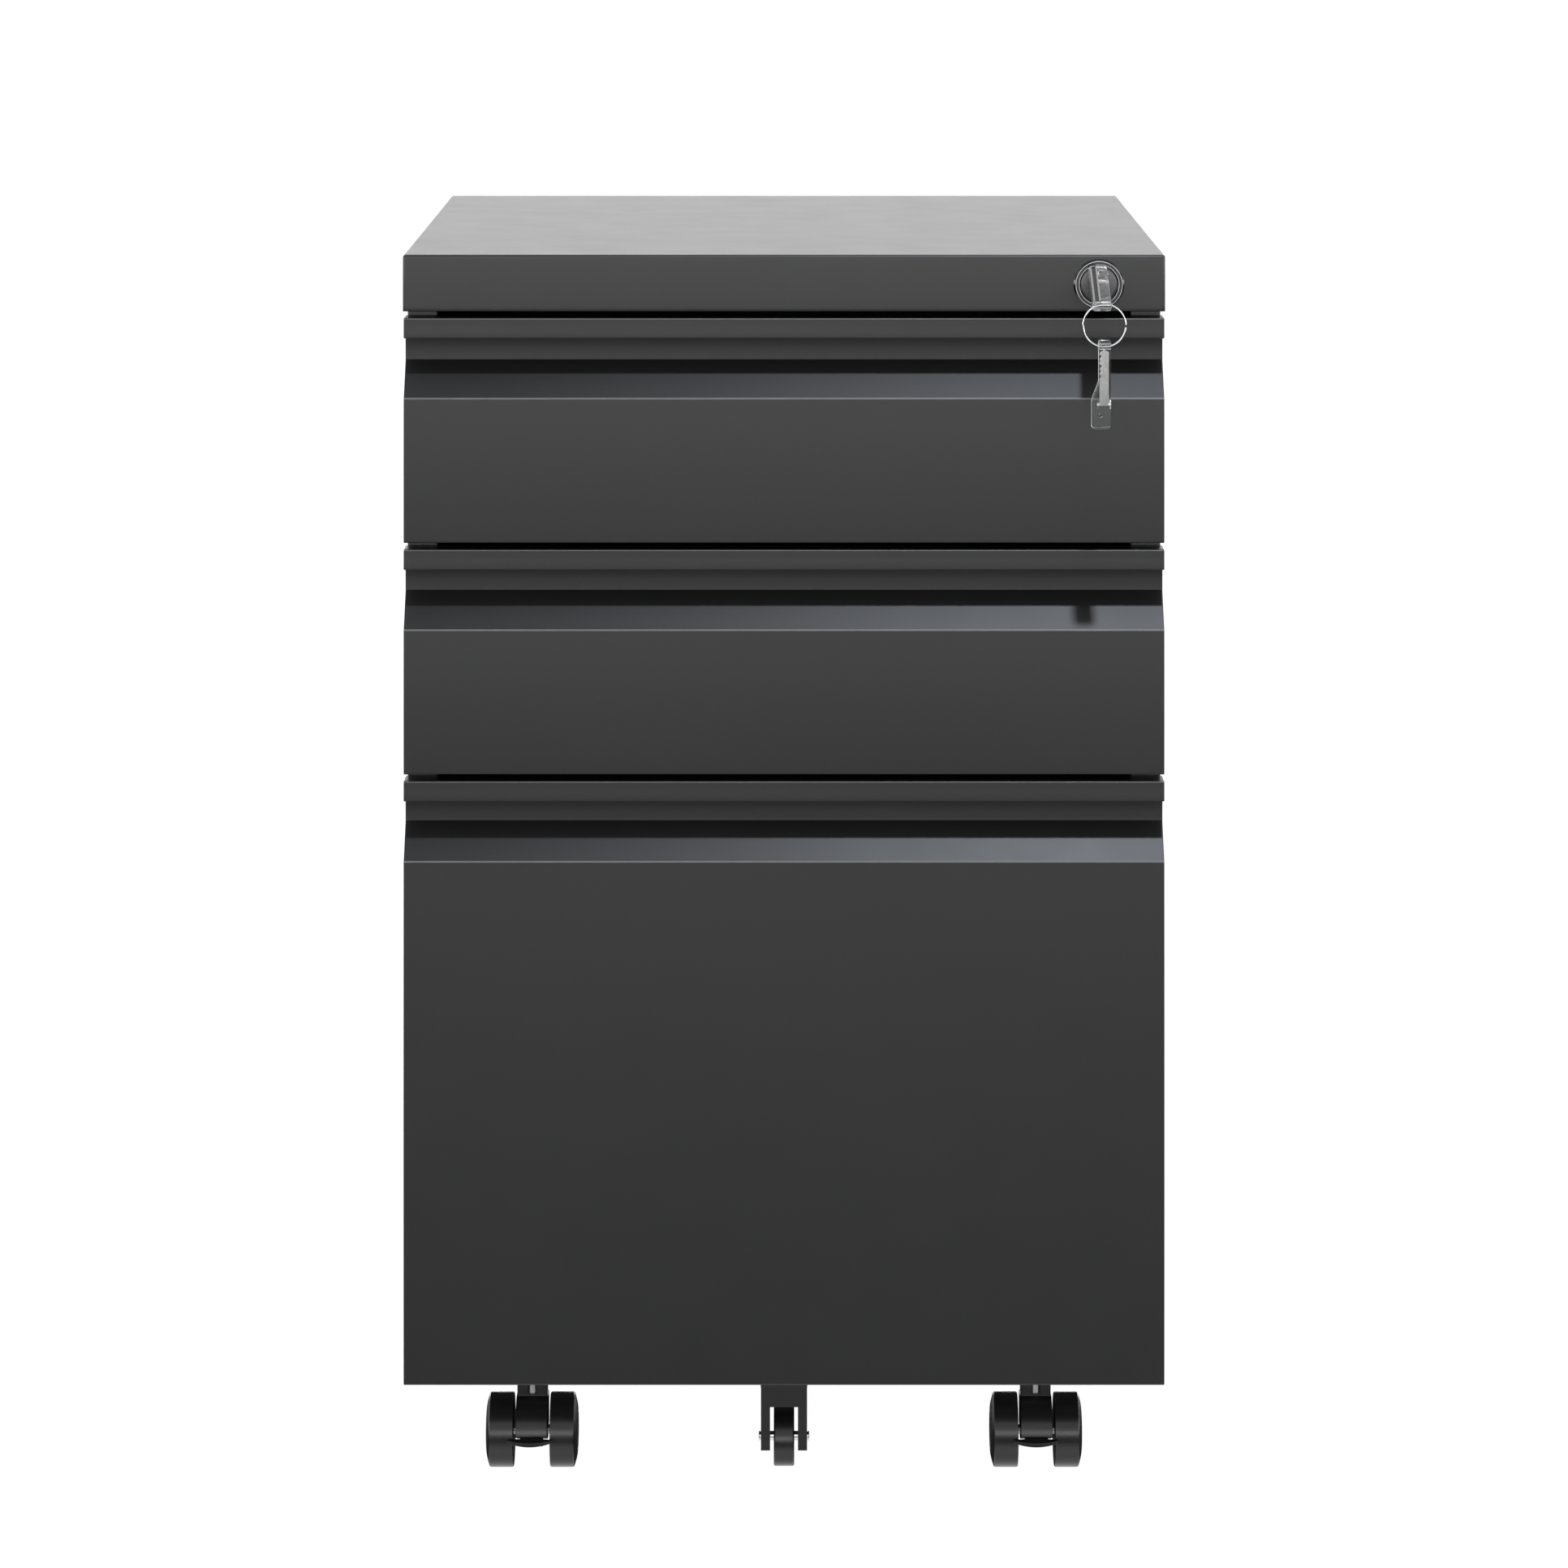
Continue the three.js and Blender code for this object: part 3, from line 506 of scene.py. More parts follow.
def top_cover():
    low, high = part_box("top_cover")
    shell = box_shape(low, high)
    shell.edges.ensure_lookup_table()
    bottom = low.z + 1e-6
    folds = [
        e
        for e in shell.edges
        if not all(v.co.z < bottom for v in e.verts) or all(v.co.y < low.y + 1e-6 for v in e.verts)
    ]
    bmesh.ops.bevel(
        shell, geom=folds, offset=1.3 * MM, segments=5, profile=0.5, affect="EDGES"
    )
    for k in range(1, CROWN_STEPS):
        level = low.lerp(high, k / CROWN_STEPS)
        everything = shell.verts[:] + shell.edges[:] + shell.faces[:]
        bmesh.ops.bisect_plane(shell, geom=everything, plane_co=level, plane_no=(0, 0, 1))
    for corner in shell.verts:
        if corner.co.y < low.y + 2 * MM:
            corner.co.y += COVER_SETBACK * MM * ((corner.co.z - low.z) / (high.z - low.z)) ** 2
    cover = object_of("top_cover_shell", shell)
    y0, y1 = low.y / MM, high.y / MM
    z0, z1 = low.z / MM, high.z / MM
    hollow = [
        (y0 + SHEET, z0 + SHEET),
        (y0 + SHEET, z1 - SHEET),
        (y1 - SHEET, z1 - SHEET),
        (y1 - SHEET, z0 - 5),
        (y0 + 18, z0 - 5),
        (y0 + 18, z0 + SHEET),
    ]
    half = high.x / MM - SHEET
    combine(cover, object_of("inside", extrusion(hollow, "x", -half, half)), "DIFFERENCE")
    lock = PLACE_OF["lock_turn"]
    hole = lathe([(0, -8), (10.3, -8), (10.3, 12), (0, 12)], "y", lock, 64)
    combine(cover, object_of("hole", hole), "DIFFERENCE")
    # The cover's bends get only a faint painted highlight.
    return place(cover, ["top_cover"], 20, 0.15)


def carcass():
    """Back and sides bent from one sheet, with hems along the top and bottom."""
    low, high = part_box("carcass_wrap")
    half, front, back = high.x / MM, low.y / MM, high.y / MM
    opening, returned = half - 15.7, front + 8.7
    bend = 1.6
    path = [
        (opening, returned, 0),
        (opening, front, bend),
        (half, front, bend),
        (half, back, bend),
        (-half, back, bend),
        (-half, front, bend),
        (-opening, front, bend),
        (-opening, returned, 0),
    ]
    outside = rounded(path)
    outline = outside + list(reversed(offset(outside, SHEET)))
    wrap = object_of("carcass_shell", extrusion(outline, "z", low.z / MM, high.z / MM))
    for z in (low.z / MM + 0.2, high.z / MM - 1.2):
        for side in (-1, 1):
            x = sorted((side * (half - 11), side * (half - 0.5)))
            hem = box_shape(
                (x[0] * MM, (front + 13) * MM, z * MM),
                (x[1] * MM, (back - 2) * MM, (z + SHEET) * MM),
            )
            combine(wrap, object_of("hem", hem), "UNION")
    return place(wrap, ["carcass_wrap"], 25)


# ---- Lock and keys ------------------------------------------------------------------------------------


def lock_pieces():
    centre = PLACE_OF["lock_turn"]
    ring = [
        (9.98, -1.0),
        (10.0, -2.5),
        (10.12, -2.75),
        (10.3, -2.75),
        (10.42, -2.45),
        (10.5, -1.6),
        (11.5, -1.6),
        (11.6, -2.3),
        (11.75, -2.6),
        (11.95, -2.6),
        (12.1, -2.3),
        (12.25, -1.2),
        (12.88, -0.6),
        (12.88, 0.5),
        (9.8, 0.5),
        (9.8, 24),
        (7.4, 24),
        (7.4, 0.8),
        (9.98, 0.8),
    ]
    bezel = place(object_of("lock_bezel", lathe(ring, "y", centre, 128)), ["lock_housing"], 20)
    # Painted shade and highlight: the bezel takes a dark copy of the chrome for shaded reflections, and
    # its foremost crest faces take the bright copy as a painted highlight.
    bezel.data.materials[0] = chrome((0.05, 0.05, 0.052), (0.09, 0.09, 0.092), "shaded_chrome")
    bezel.data.materials.append(MATERIALS["chrome"])
    crest = min(face.center.y for face in bezel.data.polygons) + 0.45 * MM
    for face in bezel.data.polygons:
        face.material_index = int(face.center.y < crest)
    core = [
        (0, -1.5),
        (8.6, -1.5),
        (8.9, -1.3),
        (9.2, -1.3),
        (9.5, -1.6),
        (9.7, -1.5),
        (9.8, -1.2),
        (9.8, 0.4),
        (7, 0.4),
        (7, 24.3),
        (8.5, 24.3),
        (8.5, 26.3),
        (0, 26.3),
    ]
    plug = object_of("lock_core", lathe(core, "y", centre, 96))
    slot = box_shape(centre + Vector((-2.8, -5, -1.3)) * MM, centre + Vector((2.8, 13, 1.3)) * MM)
    combine(plug, object_of("keyway", slot), "DIFFERENCE")
    pin_place = centre + Vector((-6, 0, -6)) * MM * math.sqrt(0.5)
    pin = lathe([(0, 25.5), (2, 25.5), (2, 32.1), (1.6, 32.5), (0, 32.5)], "y", pin_place, 32)
    combine(plug, object_of("pin", pin), "UNION")
    place(plug, ["lock_plug"], 40)


FULL_GRIP = [
    (-4.8, 12.9, 2.4),
    (4.8, 12.9, 2.4),
    (4.8, -32.4, 1.5),
    (-4.8, -32.4, 1.5),
]
SLIM_GRIP = [
    (-5.4, 12.9, 2.4),
    (4.4, 12.9, 2.4),
    (4.4, -32.4, 1.5),
    (-1.8, -32.4, 1.5),
    (-1.8, -11.3, 9),
    (-5.4, -2.5, 7),
]
BLADE_X, BLADE_HALF, BLADE_LENGTH = 0.9, 2.4, 27.6
RISE, GRIP_THICKNESS, RING_HOLE = 3.7, 5.0, 28.9
EAR = [
    (-2.3, 2.2, 0.3),
    (-2.3, 0, 2.2),
    (-1.6, -1.7, 1.6),
    (1.6, -1.7, 1.6),
    (2.3, 0, 2.2),
    (2.3, 2.2, 0.3),
]
RIVET_PLACE, RIVET_RIM, RIVET_BORE, RIM_RAISE = (-0.6, 6.1, RISE), 1.3, 0.9, 0.15
RING_SHIFT = 1.2


def grip_object(name, shape, hole_radius, matrix):
    """Clear grip: a rounded slab with two ears that hold the blade's hinge pin."""
    outline = rounded(shape, closed=True, steps=6)
    half = GRIP_THICKNESS / 2
    slab = object_of(name, extrusion(outline, "z", RISE - half, RISE + half))
    bevel(slab, 0.8, 4, 50)
    with_modifiers(slab)
    for left in (BLADE_X - BLADE_HALF - 1.1, BLADE_X + BLADE_HALF + 0.2):
        side = extrusion(rounded(EAR, closed=True), "x", left, left + 0.9)
        combine(slab, object_of("ear", side), "UNION")
    hole = lathe([(0, -8), (1.2, -8), (1.2, 8), (0, 8)], "x", (0, 0, 0), 32)
    combine(slab, object_of("hole", hole), "DIFFERENCE")
    bore = [(0, -8), (hole_radius, -8), (hole_radius, 8), (0, 8)]
    ring = lathe(bore, "x", (0, -RING_HOLE * MM, RISE * MM), 32)
    combine(slab, object_of("hole", ring), "DIFFERENCE")
    rivet = Vector(RIVET_PLACE) * MM
    end = half + RIM_RAISE
    rim = lathe([(0, -end), (RIVET_RIM, -end), (RIVET_RIM, end), (0, end)], "z", rivet, 32)
    combine(slab, object_of("rim", rim), "UNION")
    hole = lathe([(0, -8), (RIVET_BORE, -8), (RIVET_BORE, 8), (0, 8)], "z", rivet, 32)
    combine(slab, object_of("hole", hole), "DIFFERENCE")
    slab.data.transform(matrix)
    return slab


def blade_object(name, matrix):
    """Toothed blade with a groove down its middle and a hinge pin with rounded heads."""
    left, right = BLADE_X - BLADE_HALF, BLADE_X + BLADE_HALF
    outline = [(right, -0.6, 0.5), (right, BLADE_LENGTH - 1.4, 0.5), (BLADE_X, BLADE_LENGTH, 0.4)]
    outline.append((left + 0.6, BLADE_LENGTH - 1.4, 0.3))
    depths = [1.3, 0.5, 1.4, 0.8, 1.2]
    for i, depth in enumerate(depths):
        top = BLADE_LENGTH - 2.2 - 2.5 * i
        outline += [(left, top - 0.2, 0.15), (left + depth, top - 1.2, 0.2)]
    outline += [(left, BLADE_LENGTH - 2.2 - 2.5 * len(depths), 0.3), (left, -0.6, 0.5)]
    blade = object_of(name, extrusion(rounded(outline, closed=True, steps=3), "z", -0.9, 0.9))
    bevel(blade, 0.12, 2, 50)
    with_modifiers(blade)
    for z in (0.75, -1.05):
        low = (BLADE_X + 0.35, 3.2, z)
        high = (BLADE_X + 1.05, BLADE_LENGTH - 3, z + 0.3)
        groove = box_shape(Vector(low) * MM, Vector(high) * MM)
        combine(blade, object_of("groove", groove), "DIFFERENCE")
    pin = [(0, -3.5), (0.6, -3.5), (0.85, -3.2), (0.85, 3.2), (0.6, 3.5), (0, 3.5)]
    centre = (BLADE_X * MM, 0, 0)
    combine(blade, object_of("pin", lathe(pin, "x", centre, 24)), "UNION")
    blade.data.transform(matrix)
    return blade


def leaf_object(name, grip, matrix):
    """Spring steel strip let into the left half of a grip, with its edges turned up."""
    low, high = RISE + GRIP_THICKNESS / 2 - 0.9, RISE + GRIP_THICKNESS / 2 + 0.25
    bed = [(-4.45, low - 0.05), (-0.45, low - 0.05), (-0.45, high + 1), (-4.45, high + 1)]
    groove = object_of("groove", extrusion(bed, "y", -30.65, 11.25))
    groove.data.transform(matrix)
    combine(grip, groove, "DIFFERENCE")
    section = [(-4.4, high), (-3.4, high), (-3.2, low + 0.4), (-1.7, low + 0.4)]
    section += [(-1.5, high), (-0.5, high), (-0.7, low), (-4.2, low)]
    strip = bevel(object_of(name, extrusion(section, "y", -30.6, 11.2)), 0.08, 2, 40)
    strip = with_modifiers(strip)
    strip.data.materials.clear()
    for slot in ("key_metal", "dark_steel"):
        strip.data.materials.append(MATERIALS[slot])
    # Painted shade: the faces along the strip's middle trough take the dark steel, so the trough reads
    # as a dark slit.
    for face in strip.data.polygons:
        face.material_index = int(abs(face.center.x + 2.45 * MM) < 0.85 * MM)
    strip.data.transform(matrix)
    return strip


def key_pair(prefix, shape, hole_radius, hinge, grip_turn, blade_turn):
    """A folding key: grip and blade, and on the full grip a steel strip, turned about one hinge."""
    origin = Matrix.Translation(hinge - Vector((BLADE_X * MM, 0, 0)))
    grip_matrix = origin @ Matrix.Rotation(grip_turn, 4, "X")
    grip = grip_object(prefix + "_handle", shape, hole_radius, grip_matrix)
    blade = blade_object(prefix + "_bit", origin @ Matrix.Rotation(blade_turn, 4, "X"))
    if shape is FULL_GRIP:
        leaf = leaf_object(prefix + "_leaf", grip, grip_matrix)
        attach(smooth(leaf, 25), BODY_OF[prefix + "_grip"])
        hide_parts(prefix + "_grip")
    place(grip, [prefix + "_grip"], 35)
    place(blade, [prefix + "_blade"], 25)


def split_ring():
    """Wire wound twice round, with a cross-over where the two turns meet."""
    low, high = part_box("key_ring")
    centre = (low + high) / 2 - Vector((RING_SHIFT * MM, 0, 0))
    outer = (high.x - low.x) / 2 / MM
    wire = 0.42
    radius = outer - wire
    sides, steps = 10, 220
    crossing = math.radians(-8)
    points, rings = [], []
    for k in range(steps + 1):
        t = k / steps
        angle = crossing + 4 * math.pi * t * 0.985
        shift = min(1.0, max(0.0, (t - 0.5) / 0.04 + 0.5))
        across = (-1 + 2 * shift * shift * (3 - 2 * shift)) * (wire + 0.03)
        swell = min(1.0, math.sqrt(max(0.0, min(t, 1 - t)) * steps / 2 + 0.05))
        rings.append([])
        for i in range(sides):
            turn = 2 * math.pi * i / sides
            reach = radius + wire * swell * math.cos(turn)
            rings[-1].append(len(points))
            points.append(
                centre
                + Vector(
                    (
                        reach * math.cos(angle),
                        across + wire * swell * math.sin(turn),
                        reach * math.sin(angle),
                    )
                )
                * MM
            )
    faces = [rings[0], rings[-1]]
    for a, b in zip(rings, rings[1:]):
        faces += [(a[i], a[(i + 1) % sides], b[(i + 1) % sides], b[i]) for i in range(sides)]
    place(object_of("split_ring", solid(points, faces)), ["key_ring"], 60)


# ---- Casters and fifth wheel --------------------------------------------------------------------------

AXLE_BORE, BORE_END, STEM_BORE, HOOD_BOSS, NOTCH_HALF = 2.8, 19.4, 4.3, 5, 2.3
NUT_CORNER, NUT_HEIGHT = 6.9, 5.6
PEDAL_BACK, PEDAL_END_WIDTH, PEDAL_ASIDE = 10.6, 1.6, 0.6


def wheel_profile(radius, inner, outer, bore, bore_end):
    """Half section of a caster wheel: flat tread, domed face with a hub cap's groove."""
    points = [(0, bore_end), (bore, bore_end), (bore, inner), (radius * 0.55, inner)]
    points += [(radius - 0.7, inner), (radius - 0.2, inner + 0.2), (radius, inner + 0.7)]
    edge = outer - 2.4
    points += [(radius, edge - 0.4), (radius - 0.12, edge + 0.1), (radius - 0.5, edge + 0.45)]
    for k in range(1, 9):
        t = k / 8
        share = 1 - 0.45 * t
        points.append(((radius - 0.5) * share, edge + 0.45 + 1.75 * math.sin(t * math.pi / 2)))
    cap = (radius - 0.5) * 0.55
    points += [(cap - 0.35, outer - 0.7), (cap - 0.7, outer - 0.7), (cap - 1.0, outer - 0.15)]
    points += [(cap * 0.5, outer), (0, outer)]
    return points


def arc(radius, first, step, count):
    """Points on a circle about the origin, angles in degrees."""
    angles = [math.radians(first + step * k) for k in range(count)]
    return [(radius * math.cos(a), radius * math.sin(a)) for a in angles]


def caster(name):
    """Twin wheels, hood with a block and a notch at its stem, axle and stem."""
    left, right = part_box(name + "_wheel_left"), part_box(name + "_wheel_right")
    centre = (left[0] + right[1]) / 2
    radius = (right[1].z - right[0].z) / 2 / MM
    inner, outer = (right[0].x - centre.x) / MM, (right[1].x - centre.x) / MM
    profile = wheel_profile(radius, inner, outer, AXLE_BORE, BORE_END)
    for side, sign in (("right", 1), ("left", -1)):
        turned = [(r, sign * along) for r, along in profile]
        wheel = object_of(f"{name}_tyre_{side}", lathe(turned, "x", centre, 96))
        place(wheel, [f"{name}_wheel_{side}"], 24)
    hood_low, hood_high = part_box(name + "_hood")
    half = (hood_high.x - hood_low.x) / 2 / MM
    reach = (centre.y - hood_low.y) / MM
    crown = [(-u, v) for u, v in arc(reach, 0, 3.75, 25)]
    back = [(10, reach), (13, reach - 1), (14, reach - 4), (14, 0)]
    outline = crown + back + arc(HOOD_BOSS, 0, -10, 19)
    hood = object_of(name + "_shroud", extrusion(outline, "x", -half, half, centre))
    bevel(hood, 0.5, 3, 50)
    with_modifiers(hood)
    stem_low, stem_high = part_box(name + "_stem")
    stem = Vector(((stem_low.x + stem_high.x) / 2, (stem_low.y + stem_high.y) / 2, 0))
    top = hood_high.z / MM
    block = [(-5.4, top - 6), (7, top - 6), (7, top + 8.6), (-5.4, top + 8.6)]
    seat = object_of("seat", extrusion(block, "x", 0.4 - half, half - 0.4, stem))
    combine(hood, with_modifiers(bevel(seat, 0.5, 3, 50)), "UNION")
    opening = [(-9, top + 1.0), (0, top + 1.0), (0, top + 12), (-9, top + 12)]
    notch = extrusion(opening, "x", -NOTCH_HALF, NOTCH_HALF, stem)
    combine(hood, object_of("notch", notch), "DIFFERENCE")
    bore = lathe([(0, 27), (STEM_BORE, 27), (STEM_BORE, 50), (0, 50)], "z", stem, 48)
    combine(hood, object_of("bore", bore), "DIFFERENCE")
    axle_bore = lathe([(0, -30), (AXLE_BORE, -30), (AXLE_BORE, 30), (0, 30)], "x", centre, 32)
    combine(hood, object_of("bore", axle_bore), "DIFFERENCE")
    place(hood, [name + "_hood"], 30)
    axle_low, axle_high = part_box(name + "_axle")
    reach = (axle_high.x - centre.x) / MM
    end = [(2.5, reach - 0.4), (2.1, reach), (0, reach)]
    axle = [(r, -along) for r, along in reversed(end)] + end
    place(object_of(name + "_shaft", lathe(axle, "x", centre, 48)), [name + "_axle"])
    place(threaded_stem(name, stem, stem_low.z / MM, stem_high.z / MM), [name + "_stem"], 25)


def threaded_stem(name, centre, bottom, top):
    """Stem with a turned collar under the floor tray, and a hexagon nut and thread above it."""
    collar_top = 59.2
    thread = []
    z = collar_top + 8.2
    while z < top - 0.8:
        thread += [(3.7, z), (4.0, z + 0.35), (3.7, z + 0.7)]
        z += 0.8
    profile = [(0, bottom), (3.6, bottom), (4, bottom + 0.4), (4, collar_top - 2.7)]
    profile += [(7.6, collar_top - 2.7), (8, collar_top - 2.3), (8, collar_top), (4, collar_top)]
    profile += [(4, collar_top + 8)] + thread + [(3.3, top), (0, top)]
    stem = lathe(profile, "z", centre, 48)
    low = collar_top + 2.2
    piece = object_of(name + "_threaded_stem", stem)
    nut = extrusion(arc(NUT_CORNER, 0, 60, 6), "z", low, low + NUT_HEIGHT, centre)
    hexagon = object_of("nut", nut)
    bevel(hexagon, 0.35, 2, 40)
    with_modifiers(hexagon)
    return combine(piece, hexagon, "UNION")


def brake_pedal(name):
    """Crescent foot lever, thin and raised at its ends, with a neck to its hinge."""
    low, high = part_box(name + "_brake_pedal")
    hinge = PLACE_OF[name + "_brake_pedal_press"]
    half = (high.x - low.x) / 2 / MM + 0.5
    back, front = PEDAL_BACK, (hinge.y - low.y) / MM
    stations, rings, points = 28, [], []
    for k in range(stations + 1):
        t = 2 * k / stations - 1
        swell = max(0.0, math.cos(t * math.pi / 2)) ** 0.8
        tip = back + PEDAL_END_WIDTH + (front - back - PEDAL_END_WIDTH) * swell
        under = 0.4 + 1.2 * t * t
        outline = [
            (-tip, under, 0.35),
            (-back, under, 0.35),
            (-back, under + 1.4 + 1.9 * swell, 0.35),
            (-tip, under + 1.2 + 0.9 * swell, 0.35),
        ]
        section = rounded(outline, closed=True, steps=4)
        rings.append(range(len(points), len(points) + len(section)))
        points += [axis_point("x", y, z, half * t - PEDAL_ASIDE, hinge) for y, z in section]
    faces = [list(rings[0]), list(rings[-1])]
    for a, b in zip(rings, rings[1:]):
        count = len(a)
        faces += [(a[i], a[(i + 1) % count], b[(i + 1) % count], b[i]) for i in range(count)]
    blade = object_of(name + "_foot_lever", solid(points, faces))
    neck = [(-back - 1.5, 0.6), (-back - 1.5, 2.0), (-back + 0.6, 2.0), (-back + 3, 1.2), (0, 2.0)]
    neck += [(1.4, 1.4), (2.0, 0), (1.4, -1.4), (0, -2.0), (-back + 2.4, -1.1)]
    combine(blade, object_of("neck", extrusion(neck, "x", -6, 6, hinge)), "UNION")
    place(blade, [name + "_brake_pedal"], 30)


def fifth_wheel():
    centre = middle("fifth_wheel")
    low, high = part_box("fifth_wheel")
    radius, half = (high.z - low.z) / 2 / MM, (high.x - low.x) / 2 / MM
    right = [(2.8, half - 0.6), (radius * 0.4, half - 0.6), (radius * 0.45, half)]
    right += [(radius - 0.8, half), (radius - 0.25, half - 0.2), (radius, half - 0.75)]
    profile = right + [(r, -along) for r, along in reversed(right)]
    place(object_of("anti_tip_wheel", lathe(profile, "x", centre, 96)), ["fifth_wheel"], 24)
    pin_low, pin_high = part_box("fifth_wheel_pin")
    pin_centre, reach = middle("fifth_wheel_pin"), (pin_high.x - pin_low.x) / 2 / MM
    end = [(0, reach), (2.2, reach), (2.5, reach - 0.3), (2.5, reach - 0.6), (2.15, reach - 0.8)]
    end += [(2.15, reach - 1.1), (2.5, reach - 1.2)]
    pin = end + [(r, -along) for r, along in reversed(end)]
    place(object_of("anti_tip_axle", lathe(pin, "x", pin_centre, 48)), ["fifth_wheel_pin"])


# ---- CAD nodes that stay ------------------------------------------------------------------------------


def refine(node, width, segments=2):
    """Bends and rounded edges on a CAD node, from modifiers alone."""
    piece = frame["nodes"][node]
    piece.data.materials.clear()
    piece.data.materials.append(MATERIALS[SLOT_OF[node]])
    weld = piece.modifiers.new("weld", "WELD")
    weld.merge_threshold = 1e-6
    flat = piece.modifiers.new("flat", "DECIMATE")
    flat.decimate_type = "DISSOLVE"
    flat.angle_limit = math.radians(0.5)
    bevel(piece, width, segments)
    modifier = piece.modifiers.new("normals", "WEIGHTED_NORMAL")
    modifier.keep_sharp = True


top_cover()
carcass()
for drawer in DRAWERS:
    drawer_front(drawer)
lock_pieces()
LOCK_HINGE, SPARE_HINGE = PLACE_OF["key_fold"], PLACE_OF["spare_key_fold"].copy()
SPARE_HINGE.x = middle("spare_key_grip").x + BLADE_X * MM
key_pair("lock_key", FULL_GRIP, 2.1, LOCK_HINGE, math.radians(20), 0.0)
key_pair("spare_key", SLIM_GRIP, 1.8, SPARE_HINGE, math.radians(-90), math.radians(90))
split_ring()
for caster_name in CASTERS:
    caster(caster_name)
    if caster_name.startswith("front"):
        brake_pedal(caster_name)
fifth_wheel()

refine("base_panel", 0.4)
refine("lock_bar", 0.3)
refine("fifth_wheel_bracket", 0.4)
for drawer in DRAWERS:
    refine(drawer + "_box", 0.35)
    for member in ("cabinet", "middle", "drawer"):
        for side in ("left", "right"):
            refine(f"{drawer}_slide_{member}_member_{side}", 0.35)

# ---- Floor, light and camera --------------------------------------------------------------------------

FLOOR_GLOW, FLOOR_MATT = 1.12, 0.12

# The studio's brightness by elevation in degrees, as everything but the camera sees it.
LIT_FLOOR = [(-90, 0.8), (-50, 1.2), (-36, 0.9)]
DARK_GAP = [(-25, 0.02), (-6, 0.02)]
BRIGHT_BAND = [(2.5, 6.2), (4.5, 5.2), (8, 0.9), (18, 0.55)]
CEILING = [(27, 1.15), (38, 0.9), (52, 0.4), (90, 0.4)]

LAMP_PLACE, LAMP_AIM = (0.23, -0.83, 1.80), (0.1, -0.2, 0.2)
LAMP_SIZE, LAMP_POWER, LAMP_TINT = 0.06, 8.0, (0.84, 0.90, 1.0)

CAMERA_DISTANCE, CAMERA_HEIGHT = 3.2724, 0.8723
LENS, LENS_SHIFT = 138.0, -0.6334


def floor():
    """A wide white sheet that catches a faint shadow."""
    size = 30.0
    shape = solid(
        [(-size, -size, 0), (size, -size, 0), (size, size, 0), (-size, size, 0)], [(0, 1, 2, 3)]
    )
    sheet = object_of("floor", shape)
    s = Shader("floor")
    glow = s.node("ShaderNodeEmission", {"Color": (1, 1, 1, 1), "Strength": FLOOR_GLOW})
    matt = s.node("ShaderNodeBsdfDiffuse", {"Color": (0.9, 0.9, 0.9, 1)})
    parts = {0: FLOOR_MATT, 1: glow.outputs[0], 2: matt.outputs[0]}
    blend = s.node("ShaderNodeMixShader", parts)
    s.links.new(blend.outputs[0], s.nodes["Material Output"].inputs["Surface"])
    sheet.data.materials.append(s.material)
    sheet.visible_glossy = False
    sheet.visible_diffuse = False
    sheet.visible_transmission = True


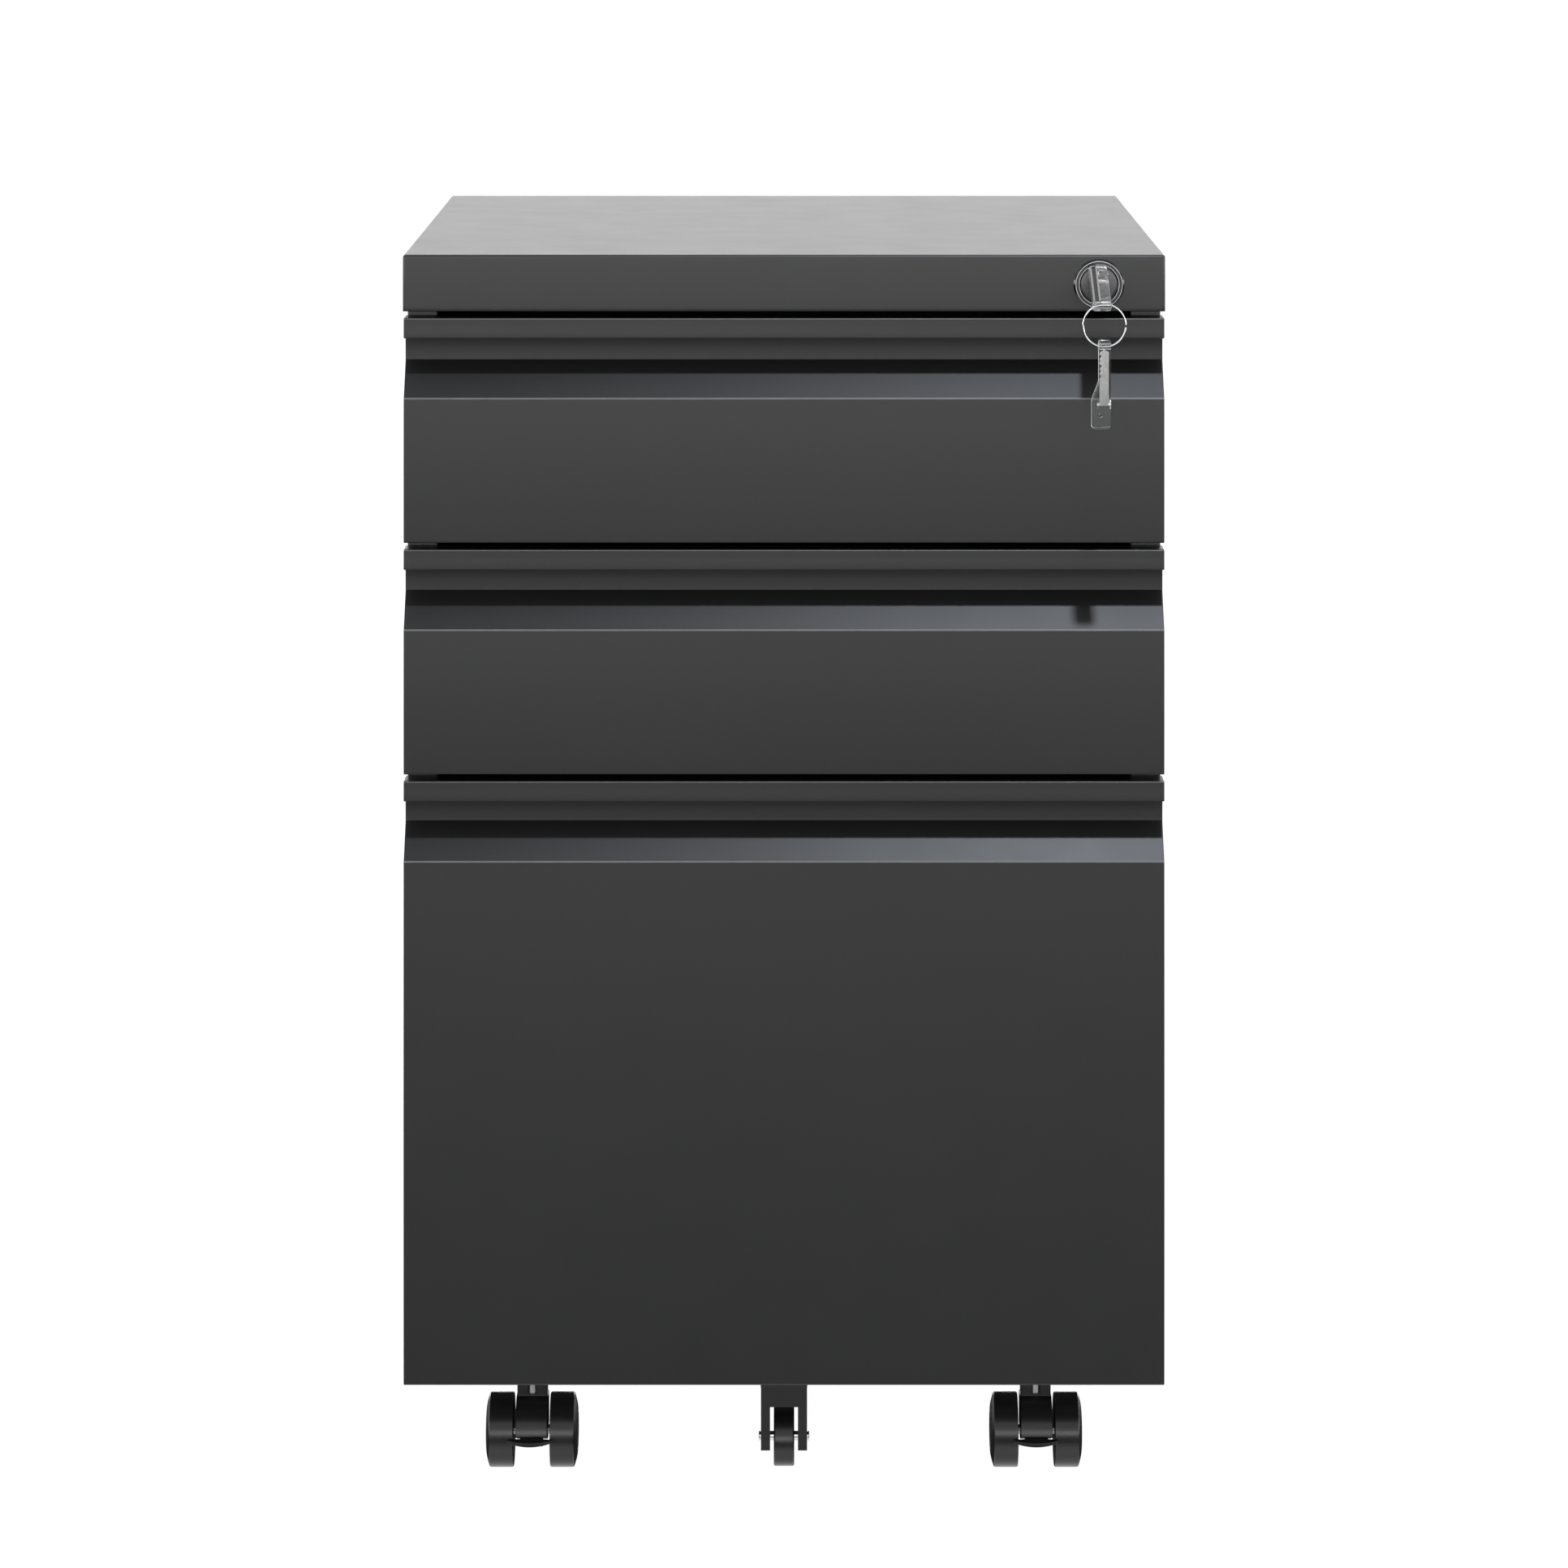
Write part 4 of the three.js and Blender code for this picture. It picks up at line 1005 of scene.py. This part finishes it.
def world():
    """White to the camera; everything else sees a studio with a bright band at the horizon."""
    made = bpy.data.worlds.new("studio")
    bpy.context.scene.world = made
    made.use_nodes = True
    tree = made.node_tree
    nodes, links = tree.nodes, tree.links
    nodes.clear()
    out = nodes.new("ShaderNodeOutputWorld")
    direction = nodes.new("ShaderNodeTexCoord").outputs["Generated"]
    split = nodes.new("ShaderNodeSeparateXYZ")
    links.new(direction, split.inputs[0])
    height = nodes.new("ShaderNodeMapRange")
    height.inputs["From Min"].default_value = -1
    height.inputs["From Max"].default_value = 1
    links.new(split.outputs["Z"], height.inputs["Value"])
    ramp = nodes.new("ShaderNodeValToRGB")
    links.new(height.outputs["Result"], ramp.inputs[0])
    levels = LIT_FLOOR + DARK_GAP + BRIGHT_BAND + CEILING
    brightest = max(level for _, level in levels)
    stops = ramp.color_ramp.elements
    while len(stops) > 1:
        stops.remove(stops[-1])
    for i, (elevation, level) in enumerate(levels):
        at = (math.sin(math.radians(elevation)) + 1) / 2
        stop = stops[0] if i == 0 else stops.new(at)
        stop.position = at
        stop.color = (*[level / brightest] * 3, 1)
    dim = nodes.new("ShaderNodeBackground")
    links.new(ramp.outputs[0], dim.inputs["Color"])
    dim.inputs["Strength"].default_value = brightest
    white = nodes.new("ShaderNodeBackground")
    white.inputs["Color"].default_value = (1, 1, 1, 1)
    path = nodes.new("ShaderNodeLightPath")
    blend = nodes.new("ShaderNodeMixShader")
    links.new(path.outputs["Is Camera Ray"], blend.inputs[0])
    links.new(dim.outputs[0], blend.inputs[1])
    links.new(white.outputs[0], blend.inputs[2])
    links.new(blend.outputs[0], out.inputs["Surface"])


def lamp():
    """A small square panel of light that the camera doesn't see."""
    data = bpy.data.lights.new("lamp", "AREA")
    data.shape = "SQUARE"
    data.size = LAMP_SIZE
    data.energy = LAMP_POWER
    data.color = LAMP_TINT
    made = bpy.data.objects.new("lamp", data)
    aim = Vector(LAMP_AIM) - Vector(LAMP_PLACE)
    made.location = LAMP_PLACE
    made.rotation_euler = aim.to_track_quat("-Z", "Y").to_euler()
    made.visible_camera = False
    bpy.context.scene.collection.objects.link(made)


def camera():
    """A level camera above the cabinet with a shifted lens, so that upright edges stay parallel."""
    data = bpy.data.cameras.new("camera")
    made = bpy.data.objects.new("camera", data)
    bpy.context.scene.collection.objects.link(made)
    made.location = (0, -CAMERA_DISTANCE, CAMERA_HEIGHT)
    made.rotation_euler = (math.pi / 2, 0, 0)
    data.sensor_width = 36
    data.lens = LENS
    data.clip_start = 0.05
    # The lens shifts only while the camera stands at this height: from any other it looks straight.
    drive = data.driver_add("shift_y").driver
    drive.type = "SCRIPTED"
    height = drive.variables.new()
    height.name = "height"
    height.type = "SINGLE_PROP"
    height.targets[0].id = made
    height.targets[0].data_path = "location[2]"
    drive.expression = f"{LENS_SHIFT} if abs(height - {CAMERA_HEIGHT}) < 0.0002 else 0.0"
    bpy.context.scene.camera = made


floor()
world()
lamp()
camera()
bpy.context.scene.view_settings.view_transform = "Standard"
